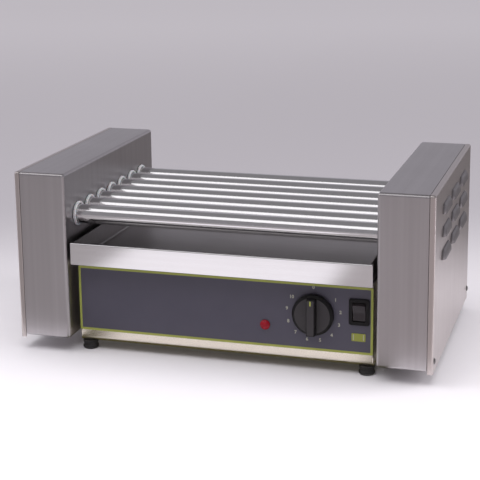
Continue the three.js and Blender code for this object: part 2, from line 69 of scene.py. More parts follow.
# Louvres, pressed out of the covers
LOUVRE_ROWS = [0.152, 0.181, 0.210]
LOUVRE_STARTS = [-0.104, -0.028, 0.048]
LOUVRE_LENGTH = 0.060
LOUVRE_RISE = 6 * MM
LOUVRE_END = 9 * MM

# Control panel
BORDER_WIDTH = 3.0 * MM
SCALE_RADIUS = 34.6 * MM
SCALE_START = 54
SCALE_END = 306
DIGIT_SIZE = 6.0 * MM
DIGIT_WEIGHT = 0.17 * MM
KNOB_BORE = 3.2 * MM
KNOB_BORE_END = -153 * MM
ROCKER_PIVOT = (-139 * MM, 83 * MM)
ROCKER_TILT = 12


def middle(node):
    low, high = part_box(node)
    return (low + high) / 2


# ---------------------------------------------------------------- meshes


def link(name, mesh):
    obj = bpy.data.objects.new(name, mesh)
    bpy.context.scene.collection.objects.link(obj)
    return obj


def from_bmesh(name, bm):
    bmesh.ops.recalc_face_normals(bm, faces=bm.faces)
    mesh = bpy.data.meshes.new(name)
    bm.to_mesh(mesh)
    bm.free()
    return link(name, mesh)


def baked(obj):
    """Applies the modifiers of obj to its mesh."""
    graph = bpy.context.evaluated_depsgraph_get()
    mesh = bpy.data.meshes.new_from_object(obj.evaluated_get(graph))
    obj.modifiers.clear()
    obj.data = mesh
    return obj


def cut_with(obj, cutters):
    """Cuts the closed cutter solids out of obj and removes them."""
    for cutter in cutters:
        boolean = obj.modifiers.new("cut", "BOOLEAN")
        boolean.object = cutter
        boolean.operation = "DIFFERENCE"
        boolean.solver = "EXACT"
    baked(obj)
    for cutter in cutters:
        bpy.data.objects.remove(cutter)
    return obj


def joined(name, objects):
    """One object that holds the meshes of all of them."""
    bm = bmesh.new()
    for obj in objects:
        bm.from_mesh(obj.data)
        bpy.data.objects.remove(obj)
    mesh = bpy.data.meshes.new(name)
    bm.to_mesh(mesh)
    bm.free()
    return link(name, mesh)


def shaded(obj, angle=35):
    """Smooth faces with creases where they meet at more than the angle, and flat faces that stay flat."""
    obj.data.shade_smooth()
    obj.data.set_sharp_from_angle(angle=math.radians(angle))
    normals = obj.modifiers.new("flat_faces", "WEIGHTED_NORMAL")
    normals.keep_sharp = True
    return obj


def filleted(points, radius, steps=5, closed=False):
    """The outline with its corners turned into arcs of the radius, or less where a side is short."""
    count = len(points)
    outline = []
    for index, point in enumerate(points):
        corner = Vector(point)
        if not closed and index in (0, count - 1):
            outline.append(corner)
            continue
        before = Vector(points[index - 1]) - corner
        after = Vector(points[(index + 1) % count]) - corner
        half = before.angle(after) / 2
        size = radius[index] if isinstance(radius, (list, tuple)) else radius
        if size <= 0 or half > math.radians(89):
            outline.append(corner)
            continue
        reach = min(size / math.tan(half), 0.48 * before.length, 0.48 * after.length)
        towards = (before.normalized() + after.normalized()).normalized()
        centre = corner + towards * (reach / math.cos(half))
        start = corner + before.normalized() * reach - centre
        turn = start.angle_signed(corner + after.normalized() * reach - centre)
        for step in range(steps + 1):
            spin = Matrix.Rotation(-turn * step / steps, 2)
            outline.append(centre + spin @ start)
    return outline


def placed(axis, first, second, along):
    """A point from two coordinates across the axis and one along it."""
    if axis == "x":
        return Vector((along, first, second))
    if axis == "y":
        return Vector((first, along, second))
    return Vector((first, second, along))


def rectangle(low, high):
    """The corners of a box's outline, seen from the front in X and Z."""
    return [(low.x, low.z), (high.x, low.z), (high.x, high.z), (low.x, high.z)]


def prism(name, outline, axis, low, high):
    """Extrudes a closed outline along an axis."""
    bm = bmesh.new()
    ends = [
        [bm.verts.new(placed(axis, p[0], p[1], at)) for p in outline] for at in (low, high)
    ]
    bm.faces.new(ends[0])
    bm.faces.new(ends[1][::-1])
    count = len(outline)
    for index in range(count):
        after = (index + 1) % count
        bm.faces.new((ends[0][index], ends[0][after], ends[1][after], ends[1][index]))
    return from_bmesh(name, bm)


def lathe(name, profile, axis, centre, segments=64, closed=False):
    """Turns a profile of (radius, distance) points about an axis through the centre."""
    bm = bmesh.new()
    rings = []
    for radius, distance in profile:
        if radius < 1e-7:
            rings.append([bm.verts.new(placed(axis, 0, 0, distance))])
            continue
        ring = []
        for step in range(segments):
            angle = 2 * math.pi * step / segments
            point = placed(axis, radius * math.cos(angle), radius * math.sin(angle), distance)
            ring.append(bm.verts.new(point))
        rings.append(ring)
    pairs = list(zip(rings, rings[1:]))
    if closed:
        pairs.append((rings[-1], rings[0]))
    for first, second in pairs:
        for step in range(segments):
            after = (step + 1) % segments
            corners = [
                first[step % len(first)],
                first[after % len(first)],
                second[after % len(second)],
                second[step % len(second)],
            ]
            bm.faces.new(list(dict.fromkeys(corners)))
    bmesh.ops.translate(bm, verts=bm.verts, vec=centre)
    return from_bmesh(name, bm)


def plate(name, low, high, corner, steps, front, back):
    """A flat plate with the outline of a box, its corners rounded, from front to back in Y."""
    return prism(name, filleted(rectangle(low, high), corner, steps, closed=True), "y", front, back)


def drill(radius, axis, start, end, centre, segments):
    """A round cutter along the axis, from start to end as measured from the centre."""
    profile = [(0, start), (radius, start), (radius, end), (0, end)]
    return lathe("hole", profile, axis, centre, segments)


def box_mesh(low, high):
    bm = bmesh.new()
    bmesh.ops.create_cube(bm, size=1)
    bmesh.ops.scale(bm, verts=bm.verts, vec=Vector(high) - Vector(low))
    bmesh.ops.translate(bm, verts=bm.verts, vec=(Vector(low) + Vector(high)) / 2)
    bm.normal_update()
    return bm


def block(name, low, high, bevel=0.0, segments=3):
    """A box, with every edge rounded where a bevel is given."""
    bm = box_mesh(low, high)
    if bevel > 0:
        bmesh.ops.bevel(
            bm, geom=list(bm.edges), offset=bevel, segments=segments, profile=0.5, affect="EDGES"
        )
    return from_bmesh(name, bm)


def bevelled(obj, width, segments, angle=30):
    """Rounds the edges that bend by more than the angle."""
    rim = obj.modifiers.new("rim", "BEVEL")
    rim.width = width
    rim.segments = segments
    rim.limit_method = "ANGLE"
    rim.angle_limit = math.radians(angle)
    return baked(obj)


def faces_towards(bm, directions):
    return [f for f in bm.faces if any(f.normal.dot(Vector(d)) > 0.9 for d in directions)]


def rounded_rim(obj, direction, radius):
    """Rounds the outer edge of the rim that faces along the direction."""
    bm = bmesh.new()
    bm.from_mesh(obj.data)
    bm.normal_update()
    corners = [vert.co for vert in bm.verts]
    middle_point = sum(corners, Vector()) / len(corners)
    edges = []
    for edge in bm.edges:
        rims = [f for f in edge.link_faces if f.normal.dot(Vector(direction)) > 0.95]
        walls = [f for f in edge.link_faces if abs(f.normal.dot(Vector(direction))) < 0.3]
        if len(rims) != 1 or len(walls) != 1:
            continue
        outward = (edge.verts[0].co + edge.verts[1].co) / 2 - middle_point
        if outward.dot(walls[0].normal) > 0:
            edges.append(edge)
    bmesh.ops.bevel(bm, geom=edges, offset=radius, segments=4, profile=0.5, affect="EDGES")
    bm.to_mesh(obj.data)
    bm.free()
    return obj


def folded_box(name, low, high, open_sides, bend, thickness=SHEET):
    """A box of folded sheet, left open on some sides, with its outer size from low to high."""
    bm = box_mesh(low, high)
    gone = faces_towards(bm, open_sides)
    bmesh.ops.delete(bm, geom=gone, context="FACES")
    bends = [edge for edge in bm.edges if len(edge.link_faces) == 2]
    bmesh.ops.bevel(bm, geom=bends, offset=bend, segments=6, profile=0.5, affect="EDGES")
    obj = from_bmesh(name, bm)
    wall = obj.modifiers.new("sheet", "SOLIDIFY")
    wall.thickness = thickness
    wall.offset = -1
    wall.use_even_offset = True
    return baked(obj)


def outwards(obj, inside):
    """Turns the faces of an open sheet away from a point inside it."""
    bm = bmesh.new()
    bm.from_mesh(obj.data)
    bm.normal_update()
    facing = sum(f.normal.dot(f.calc_center_median() - Vector(inside)) for f in bm.faces)
    if facing < 0:
        bmesh.ops.reverse_faces(bm, faces=bm.faces)
    bm.to_mesh(obj.data)
    bm.free()
    return obj


def piece(obj, material, body, slot, *replaced):
    """Gives a finished mesh its material and its body, and hides the CAD nodes that it stands for; the slot
    is not used.
    """
    obj.data.materials.clear()
    obj.data.materials.append(material)
    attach(obj, body)
    if replaced:
        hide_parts(*replaced)
    return obj


# ---------------------------------------------------------------- shader nodes


def add_node(tree, kind, inputs=None, **settings):
    made = tree.nodes.new(kind)
    for name, value in settings.items():
        setattr(made, name, value)
    for key, value in (inputs or {}).items():
        if isinstance(value, bpy.types.NodeSocket):
            tree.links.new(value, made.inputs[key])
        else:
            made.inputs[key].default_value = value
    return made


def new_group(name, inputs, outputs):
    """An empty node group with named sockets, its input sockets and its output sockets."""
    tree = bpy.data.node_groups.new(name, "ShaderNodeTree")
    for label, kind, value in inputs:
        socket = tree.interface.new_socket(label, in_out="INPUT", socket_type=kind)
        socket.default_value = value
    for label, kind in outputs:
        tree.interface.new_socket(label, in_out="OUTPUT", socket_type=kind)
    inner = tree.nodes.new("NodeGroupInput").outputs
    outer = tree.nodes.new("NodeGroupOutput").inputs
    return tree, inner, outer


def arithmetic(tree, operation, first, second=0.0, third=0.0):
    values = {0: first, 1: second, 2: third}
    return add_node(tree, "ShaderNodeMath", values, operation=operation).outputs[0]


def blend_colours(tree, factor, first, second):
    made = add_node(tree, "ShaderNodeMix", data_type="RGBA")
    for index, value in ((0, factor), (6, first), (7, second)):
        if isinstance(value, bpy.types.NodeSocket):
            tree.links.new(value, made.inputs[index])
        else:
            made.inputs[index].default_value = value
    return made.outputs[2]


def noise(tree, vector, scale, detail=2.0, roughness=0.5):
    values = {"Vector": vector, "Scale": scale, "Detail": detail, "Roughness": roughness}
    return add_node(tree, "ShaderNodeTexNoise", values).outputs["Fac"]


def scaled(tree, vector, stretch):
    values = {0: vector, 1: stretch}
    return add_node(tree, "ShaderNodeVectorMath", values, operation="MULTIPLY").outputs[0]


def grain_group():
    """Brushing lines: fine ones for the bump and broad ones for the colour."""
    tree, inner, outer = new_group(
        "brushed_grain",
        [
            ("Stretch", "NodeSocketVector", (1.0, 1.0, 0.01)),
            ("Top Stretch", "NodeSocketVector", (1.0, 0.01, 1.0)),
            ("Fine Scale", "NodeSocketFloat", 2200.0),
            ("Broad Scale", "NodeSocketFloat", 160.0),
        ],
        [("Height", "NodeSocketFloat"), ("Bands", "NodeSocketFloat")],
    )
    place = tree.nodes.new("ShaderNodeTexCoord").outputs["Object"]
    facing = add_node(
        tree, "ShaderNodeSeparateXYZ", {0: tree.nodes.new("ShaderNodeNewGeometry").outputs["Normal"]}
    )
    steep = arithmetic(tree, "ABSOLUTE", facing.outputs["Z"])
    flat = arithmetic(tree, "GREATER_THAN", steep, 0.75)
    stretch = add_node(tree, "ShaderNodeMix", data_type="VECTOR")
    tree.links.new(flat, stretch.inputs[0])
    tree.links.new(inner["Stretch"], stretch.inputs[4])
    tree.links.new(inner["Top Stretch"], stretch.inputs[5])
    lines = scaled(tree, place, stretch.outputs[1])
    fine = noise(tree, lines, inner["Fine Scale"], 3.0, 0.65)
    broad = noise(tree, lines, inner["Broad Scale"], 2.0)
    tree.links.new(arithmetic(tree, "MULTIPLY_ADD", broad, 0.25, fine), outer["Height"])
    tree.links.new(arithmetic(tree, "MULTIPLY_ADD", fine, 0.3, broad), outer["Bands"])
    return tree


def smudge_group():
    """Large soft patches where hands and cloths have been, and small specks inside them."""
    tree, inner, outer = new_group(
        "smudges",
        [("Size", "NodeSocketFloat", 9.0), ("Contrast", "NodeSocketFloat", 1.0)],
        [("Mask", "NodeSocketFloat")],
    )
    place = tree.nodes.new("ShaderNodeTexCoord").outputs["Object"]
    patches = noise(tree, place, inner["Size"], 4.0, 0.6)
    specks = noise(tree, place, arithmetic(tree, "MULTIPLY", inner["Size"], 14.0), 3.0)
    both = arithmetic(tree, "MULTIPLY_ADD", specks, 0.3, arithmetic(tree, "MULTIPLY", patches, 0.7))
    centred = arithmetic(tree, "SUBTRACT", both, 0.5)
    mask = arithmetic(tree, "MULTIPLY_ADD", centred, inner["Contrast"], 0.5)
    tree.links.new(mask, outer["Mask"])
    return tree


def edge_group():
    """Where the surface bends sharply within the width, broken up along the edge."""
    tree, inner, outer = new_group(
        "edge_wear",
        [
            ("Width", "NodeSocketFloat", 0.8 * MM),
            ("Amount", "NodeSocketFloat", 1.0),
            ("Break Up", "NodeSocketFloat", 0.5),
        ],
        [("Mask", "NodeSocketFloat")],
    )
    rounded = add_node(tree, "ShaderNodeBevel", {"Radius": inner["Width"]}, samples=4)
    surface = tree.nodes.new("ShaderNodeNewGeometry").outputs["Normal"]
    same = add_node(
        tree, "ShaderNodeVectorMath", {0: rounded.outputs[0], 1: surface}, operation="DOT_PRODUCT"
    )
    bend = arithmetic(tree, "SUBTRACT", 1.0, same.outputs["Value"])
    place = tree.nodes.new("ShaderNodeTexCoord").outputs["Object"]
    patchy = noise(tree, place, 130.0, 3.0)
    worn = arithmetic(tree, "MULTIPLY", patchy, inner["Break Up"])
    kept = arithmetic(tree, "SUBTRACT", 1.0, worn)
    strength = arithmetic(tree, "MULTIPLY", arithmetic(tree, "MULTIPLY", bend, 6.0), kept)
    limited = arithmetic(tree, "MINIMUM", strength, 1.0)
    tree.links.new(arithmetic(tree, "MULTIPLY", limited, inner["Amount"]), outer["Mask"])
    return tree


def grime_group():
    """Corners and seams, found by how closed in they are and broken up by noise: painted shade there, and
    the dull film that gathers there.
    """
    tree, inner, outer = new_group(
        "corner_grime",
        [("Reach", "NodeSocketFloat", 8 * MM), ("Amount", "NodeSocketFloat", 0.5)],
        [("Mask", "NodeSocketFloat")],
    )
    open_air = add_node(
        tree, "ShaderNodeAmbientOcclusion", {"Distance": inner["Reach"]}, samples=4
    ).outputs["AO"]
    shut = arithmetic(tree, "SUBTRACT", 1.0, open_air)
    place = tree.nodes.new("ShaderNodeTexCoord").outputs["Object"]
    patchy = arithmetic(tree, "ADD", noise(tree, place, 60.0, 4.0), 0.4)
    mask = arithmetic(tree, "MULTIPLY", arithmetic(tree, "MULTIPLY", shut, patchy), inner["Amount"])
    tree.links.new(arithmetic(tree, "MINIMUM", mask, 1.0), outer["Mask"])
    return tree


def moulded_group():
    """The fine spark-eroded skin of moulded plastic and rubber."""
    tree, inner, outer = new_group(
        "moulded_skin",
        [("Fineness", "NodeSocketFloat", 1500.0)],
        [("Height", "NodeSocketFloat"), ("Mottle", "NodeSocketFloat")],
    )
    place = tree.nodes.new("ShaderNodeTexCoord").outputs["Object"]
    tree.links.new(noise(tree, place, inner["Fineness"], 4.0, 0.7), outer["Height"])
    tree.links.new(noise(tree, place, 45.0, 3.0), outer["Mottle"])
    return tree


GRAIN = grain_group()
SMUDGES = smudge_group()
EDGES = edge_group()
SHADE_AND_GRIME = grime_group()
SKIN = moulded_group()


def use(tree, group, **values):
    """Places a node group and sets its inputs; underscores in the names stand for spaces."""
    made = tree.nodes.new("ShaderNodeGroup")
    made.node_tree = group
    for label, value in values.items():
        made.inputs[label.replace("_", " ")].default_value = value
    return made.outputs


def empty_material(name):
    material = bpy.data.materials.new(name)
    material.use_nodes = True
    return material, material.node_tree, material.node_tree.nodes["Principled BSDF"]


def rgb(red, green, blue):
    return (red, green, blue, 1.0)


def brushed_metal(name, base, tint, roughness, stretch, top_stretch, **options):
    """Satin sheet metal with brushing lines, smudges, brighter worn edges, and corners that are rougher
    with dull film and darkened with painted shade.
    """
    material, tree, shader = empty_material(name)
    grain = use(tree, GRAIN, Stretch=stretch, Top_Stretch=top_stretch)
    smudges = use(tree, SMUDGES, Size=options.get("smudge_size", 9.0), Contrast=1.2)
    edges = use(tree, EDGES, Width=0.8 * MM, Amount=options.get("wear", 0.5), Break_Up=0.5)
    grime = use(tree, SHADE_AND_GRIME, Reach=9 * MM, Amount=options.get("grime", 0.5))
    colour = blend_colours(tree, grain["Bands"], rgb(*base), rgb(*tint))
    bright = rgb(*(min(1.0, 1.35 * value) for value in base))
    colour = blend_colours(tree, edges["Mask"], colour, bright)
    # Painted shade: the colour darkens to three tenths in closed-in corners and seams.
    colour = blend_colours(tree, grime["Mask"], colour, rgb(*(0.3 * value for value in base)))
    tree.links.new(colour, shader.inputs["Base Color"])
    spread = options.get("spread", 0.12)
    rough = arithmetic(tree, "MULTIPLY_ADD", smudges["Mask"], spread, roughness - spread / 2)
    rough = arithmetic(tree, "MULTIPLY_ADD", grime["Mask"], 0.2, rough)
    tree.links.new(rough, shader.inputs["Roughness"])
    bump = add_node(
        tree, "ShaderNodeBump",
        {"Height": grain["Height"], "Strength": options.get("relief", 0.25), "Distance": 0.02 * MM},
    )
    tree.links.new(bump.outputs[0], shader.inputs["Normal"])
    shader.inputs["Metallic"].default_value = 1.0
    return material


def moulded(name, base, tint, roughness, **options):
    """Moulded plastic or rubber: fine skin, faint mottling, paler worn edges, and a grey-brown colour in
    the corners that is dust on the dark plastics and painted shade on the pale ones.
    """
    material, tree, shader = empty_material(name)
    skin = use(tree, SKIN, Fineness=options.get("fineness", 1500.0))
    smudges = use(tree, SMUDGES, Size=25.0, Contrast=1.4)
    edges = use(tree, EDGES, Width=0.4 * MM, Amount=options.get("wear", 0.4), Break_Up=0.8)
    grime = use(tree, SHADE_AND_GRIME, Reach=4 * MM, Amount=options.get("dust", 0.3))
    colour = blend_colours(tree, skin["Mottle"], rgb(*base), rgb(*tint))
    worn = rgb(*(min(1.0, 1.8 * value + 0.03) for value in base))
    colour = blend_colours(tree, edges["Mask"], colour, worn)
    dust = rgb(*options.get("dust_colour", (0.12, 0.11, 0.1)))
    # Paler dust on the dark plastics; on the pale ones this grey-brown darkens the corners as painted
    # shade.
    colour = blend_colours(tree, grime["Mask"], colour, dust)
    tree.links.new(colour, shader.inputs["Base Color"])
    rough = arithmetic(tree, "MULTIPLY_ADD", smudges["Mask"], 0.15, roughness - 0.075)
    tree.links.new(rough, shader.inputs["Roughness"])
    bump = add_node(
        tree, "ShaderNodeBump",
        {"Height": skin["Height"], "Strength": options.get("relief", 0.3), "Distance": 0.03 * MM},
    )
    tree.links.new(bump.outputs[0], shader.inputs["Normal"])
    shader.inputs["Specular IOR Level"].default_value = options.get("shine", 0.5)
    shader.inputs["Subsurface Weight"].default_value = options.get("depth", 0.0)
    shader.inputs["Subsurface Scale"].default_value = 2 * MM
    return material


UPRIGHT = (1.0, 1.0, 0.01)
ALONG_X = (0.01, 1.0, 1.0)
ALONG_Y = (1.0, 0.01, 1.0)

LOOKS = {
    "brushed_steel": brushed_metal(
        "satin_steel", (0.47, 0.445, 0.455), (0.57, 0.545, 0.555), 0.33, UPRIGHT, ALONG_Y
    ),
    "cover_steel": brushed_metal(
        "cover_steel", (0.56, 0.505, 0.49), (0.64, 0.585, 0.57), 0.3, UPRIGHT, ALONG_Y
    ),
    # The louvres are the covers' own sheet: their darker colour and strong corner darkening are painted
    # shade on the hoods.
    "louvre_steel_painted_shade": brushed_metal(
        "louvre_sheet_with_painted_shade", (0.25, 0.235, 0.24), (0.34, 0.32, 0.325), 0.42, UPRIGHT, ALONG_Y, grime=0.8,
        wear=0.1,
    ),
    # The front panel is the housings' steel; its paler, warmer colour is a painted warm reflection that
    # brightens the strip under the film.
    "panel_steel_with_painted_reflection": brushed_metal(
        "panel_steel_with_painted_reflection", (0.82, 0.755, 0.64), (0.90, 0.835, 0.73), 0.24, ALONG_X, ALONG_X
    ),
    "base_steel": brushed_metal(
        "base_steel", (0.42, 0.40, 0.38), (0.5, 0.48, 0.46), 0.42, ALONG_Y, ALONG_X, grime=0.7
    ),
    "tray_steel": brushed_metal(
        "tray_steel", (0.47, 0.45, 0.45), (0.54, 0.52, 0.52), 0.34, ALONG_X, ALONG_X,
        smudge_size=14.0, grime=0.6, relief=0.08,
    ),
    "lip_steel": brushed_metal(
        "bright_lip_steel", (0.80, 0.78, 0.79), (0.86, 0.85, 0.86), 0.13, ALONG_X, ALONG_X,
        relief=0.06, spread=0.06, wear=0.2,
    ),
    "roller_chrome": brushed_metal(
        "polished_roller", (0.80, 0.79, 0.80), (0.88, 0.87, 0.88), 0.13, ALONG_Y, ALONG_Y,
        relief=0.05, spread=0.07, smudge_size=20.0, grime=0.2, wear=0.0,
    ),
    "zinc_steel": brushed_metal(
        "zinc_plated_steel", (0.48, 0.48, 0.44), (0.60, 0.60, 0.58), 0.45, UPRIGHT, ALONG_Y,
        smudge_size=40.0, grime=0.6,
    ),
    "heater_sheath": brushed_metal(
        "heater_sheath", (0.22, 0.20, 0.19), (0.34, 0.31, 0.30), 0.5, ALONG_X, ALONG_X,
        smudge_size=40.0,
    ),
    "screw_steel": brushed_metal(
        "dark_screw_steel", (0.16, 0.15, 0.15), (0.26, 0.25, 0.25), 0.4, ALONG_X, ALONG_X,
        smudge_size=60.0, wear=0.8,
    ),
    "ptfe": moulded(
        "white_bush", (0.50, 0.51, 0.53), (0.60, 0.61, 0.62), 0.45, depth=0.1,
        dust_colour=(0.18, 0.17, 0.16), dust=0.7,
    ),
    "control_film": moulded(
        "control_film", (0.064, 0.059, 0.086), (0.074, 0.068, 0.096), 0.42, wear=0.0, dust=0.1,
        relief=0.15,
    ),
    "border_print": moulded(
        "lime_print", (0.30, 0.34, 0.05), (0.36, 0.38, 0.07), 0.45, wear=0.0, dust=0.1,
    ),
    "scale_print": moulded(
        "scale_print", (0.36, 0.36, 0.28), (0.42, 0.42, 0.34), 0.5, wear=0.0, dust=0.0,
    ),
    "label_film": moulded(
        "label_film", (0.25, 0.265, 0.032), (0.29, 0.305, 0.045), 0.45, wear=0.1, dust=0.1,
    ),
    "black_plastic": moulded(
        "black_plastic", (0.006, 0.0055, 0.006), (0.011, 0.010, 0.011), 0.42, shine=0.22,
    ),
    # A paler copy of the knob's black plastic on the faces that look to the front: painted light, against
    # the black sides and rim.
    "knob_face_painted_light": moulded(
        "knob_plastic_with_painted_light", (0.029, 0.025, 0.028), (0.036, 0.032, 0.035), 0.5, relief=0.4,
    ),
    "rocker_plastic": moulded(
        "rocker_plastic", (0.024, 0.019, 0.022), (0.031, 0.026, 0.029), 0.22, relief=0.1, shine=0.4,
    ),
    "red_lens": moulded(
        "red_lens", (0.24, 0.004, 0.012), (0.32, 0.006, 0.018), 0.2, relief=0.1, shine=0.3, depth=0.1,
        wear=0.1, dust=0.1,
    ),
    "ceramic": moulded(
        "glazed_ceramic", (0.66, 0.64, 0.58), (0.74, 0.72, 0.67), 0.4, dust=0.6,
    ),
    "foot_rubber": moulded(
        "foot_rubber", (0.016, 0.015, 0.016), (0.026, 0.025, 0.026), 0.7, fineness=900.0, dust=0.8,
    ),
}


# ---------------------------------------------------------------- housings and covers


def build_housing(word, side):
    """A folded shell with bent edges, holes for the bushes and a joggled flange under the cover."""
    node = f"{word}_housing"
    cover_low, cover_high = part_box(f"{word}_cover")
    low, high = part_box(node)
    wall = low.x if side > 0 else high.x
    seam = (cover_low.x if side > 0 else cover_high.x) - side * 0.3 * MM
    ends = sorted((wall, seam))
    shell = folded_box(
        node + "_shell",
        (ends[0], low.y, low.z),
        (ends[1], high.y, high.z),
        [(side, 0, 0)],
        HOUSING_BEND,
    )
    rounded_rim(shell, (side, 0, 0), RIM_ROUND)
    holes = []
    for number in range(1, ROLLERS + 1):
        bush = middle(f"{word}_bush_{number}")
        centre = (wall + side * SHEET / 2, bush.y, bush.z)
        holes.append(drill(BUSH_HOLE, "x", -3 * MM, 3 * MM, centre, 48))
    cut_with(shell, holes)
    piece(shaded(shell), LOOKS["brushed_steel"], "chassis", "brushed_steel", node)

    inset = 1.5 * MM
    flange_ends = sorted((seam - side * 7 * MM, seam + side * 5.5 * MM))
    flange = folded_box(
        node + "_flange",
        (flange_ends[0], low.y + inset, low.z + inset),
        (flange_ends[1], high.y - inset, high.z - inset),
        [(side, 0, 0), (-side, 0, 0)],
        HOUSING_BEND,
    )
    piece(shaded(flange), LOOKS["brushed_steel"], "chassis", "brushed_steel")


def louvre_hood(name, side, face, start, row):
    """A hood pressed out of the sheet, rounded at both ends, with its mouth downwards."""
    across = 36
    around = 10
    half = LOUVRE_LENGTH / 2
    depth = LOUVRE_DEPTH - HAIR
    mouth = row - LOUVRE_RISE
    bm = bmesh.new()
    rows = []
    for i in range(across + 1):
        along = half * math.sin(math.pi * (i / across - 0.5))
        past = max(0.0, (abs(along) - (half - LOUVRE_END)) / LOUVRE_END)
        full = math.sqrt(max(0.0, 1 - past * past))
        line = []
        for j in range(around + 1):
            angle = math.pi / 2 * j / around
            out = depth * full * math.sin(angle) - 0.2 * MM
            up = 2 * LOUVRE_RISE * full * math.cos(angle)
            place = (face + side * out, start + half + along, mouth + up)
            line.append(bm.verts.new(place))
        rows.append(line)
    for first, second in zip(rows, rows[1:]):
        for j in range(around):
            bm.faces.new((first[j], second[j], second[j + 1], first[j + 1]))
    bmesh.ops.remove_doubles(bm, verts=bm.verts, dist=1e-6)
    obj = from_bmesh(name, bm)
    outwards(obj, (face - side * 20 * MM, start + half, mouth))
    sheet = obj.modifiers.new("sheet", "SOLIDIFY")
    sheet.thickness = 0.9 * MM
    sheet.offset = -1
    return baked(obj)


def build_cover(word, side):
    """A pan of folded sheet with three rows of three louvres."""
    node = f"{word}_cover"
    low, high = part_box(node)
    seam = low.x if side > 0 else high.x
    face = (high.x if side > 0 else low.x) - side * LOUVRE_DEPTH
    ends = sorted((seam, face))
    pan = folded_box(
        node + "_pan",
        (ends[0], low.y, low.z),
        (ends[1], high.y, high.z),
        [(-side, 0, 0), (0, 0, -1)],
        COVER_BEND,
    )
    rounded_rim(pan, (-side, 0, 0), RIM_ROUND)
    slots = []
    hoods = []
    for row in LOUVRE_ROWS:
        for start in LOUVRE_STARTS:
            slot_ends = sorted((face - side * 3 * MM, face + side * 3 * MM))
            mouth = row - LOUVRE_RISE
            slots.append(block(
                "slot",
                (slot_ends[0], start + LOUVRE_END / 2, mouth + 0.3 * MM),
                (slot_ends[1], start + LOUVRE_LENGTH - LOUVRE_END / 2, mouth + 7 * MM),
            ))
            hoods.append(louvre_hood("hood", side, face, start, row))
    cut_with(pan, [joined("slots", slots)])
    piece(shaded(pan), LOOKS["cover_steel"], "chassis", "cover_steel", node)
    pressed = joined(node + "_louvres", hoods)
    # The hoods' darker steel is painted shade.
    piece(shaded(pressed), LOOKS["louvre_steel_painted_shade"], "chassis", "cover_steel")


def build_cover_screw(word, side, end):
    """A domed screw with a cross recess."""
    node = f"{word}_cover_screw_{end}"
    low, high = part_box(node)
    outer = high.x if side > 0 else low.x
    inner = low.x if side > 0 else high.x
    centre = (0, (low.y + high.y) / 2, (low.z + high.z) / 2)
    head = (high.z - low.z) / 2
    shank = 1.8 * MM
    seat = outer - side * 1.7 * MM
    dome = [
        (head * math.cos(a), seat + side * (0.5 * MM + 1.2 * MM * math.sin(a)))
        for a in [math.pi / 2 * k / 8 for k in range(9)]
    ]
    dome[-1] = (0, outer)
    profile = [(0, inner), (shank, inner), (shank, seat), (head, seat)] + dome
    screw = lathe(node + "_head", profile, "x", centre, 40)
    depth = 1.1 * MM
    arm = 2.0 * MM
    width = 0.45 * MM
    reach = sorted((outer - side * depth, outer + side * MM))
    y, z = centre[1], centre[2]
    upright = block("arm", (reach[0], y - width, z - arm), (reach[1], y + width, z + arm))
    level = block("arm", (reach[0], y - arm, z - width), (reach[1], y + arm, z + width))
    cut_with(screw, [upright, level])
    piece(shaded(screw), LOOKS["screw_steel"], "chassis", "screw_steel", node)


# ---------------------------------------------------------------- rollers and bushes


def build_roller(number):
    """A polished tube, open at the left for the heater rod, with a plug and stub at the right."""
    node = f"roller_{number}"
    low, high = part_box(node)
    radius = (high.z - low.z) / 2
    centre = (0, (low.y + high.y) / 2, (low.z + high.z) / 2)
    bore = radius - SHEET
    tube_end = high.x - 13.5 * MM
    plug = 197 * MM
    stub = 6 * MM
    break_edge = 0.35 * MM
    profile = [
        (0, plug),
        (bore, plug),
        (bore, low.x + break_edge),
        (bore + break_edge, low.x),
        (radius - break_edge, low.x),
        (radius, low.x + break_edge),
        (radius, tube_end - break_edge),
        (radius - break_edge, tube_end),
        (stub + break_edge, tube_end),
        (stub, tube_end + break_edge),
        (stub, high.x - break_edge),
        (stub - break_edge, high.x),
        (0, high.x),
    ]
    tube = lathe(node + "_tube", profile, "x", centre, 128)
    piece(shaded(tube, 30), LOOKS["roller_chrome"], node, "roller_chrome", node)


def build_bush(word, side, number):
    """A flanged plastic bush with rounded rims."""
    node = f"{word}_bush_{number}"
    low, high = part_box(node)
    centre = (0, (low.y + high.y) / 2, (low.z + high.z) / 2)
    flange = (high.z - low.z) / 2
    inside = low.x if side > 0 else high.x
    outside = high.x if side > 0 else low.x
    bore = 12.7 * MM
    hub = 14.4 * MM
    shoulder = inside + side * 3.4 * MM
    outline = [
        (bore, inside), (flange, inside), (flange, shoulder),
        (hub, shoulder), (hub, outside), (bore, outside),
    ]
    radii = [0.8 * MM, 1.3 * MM, 0.4 * MM, 0, 0.4 * MM, 0.4 * MM]
    profile = filleted(outline, radii, 5, closed=True)
    ring = lathe(node + "_ring", profile, "x", centre, 72, closed=True)
    piece(shaded(ring), LOOKS["ptfe"], "chassis", "ptfe", node)


# ---------------------------------------------------------------- drip tray


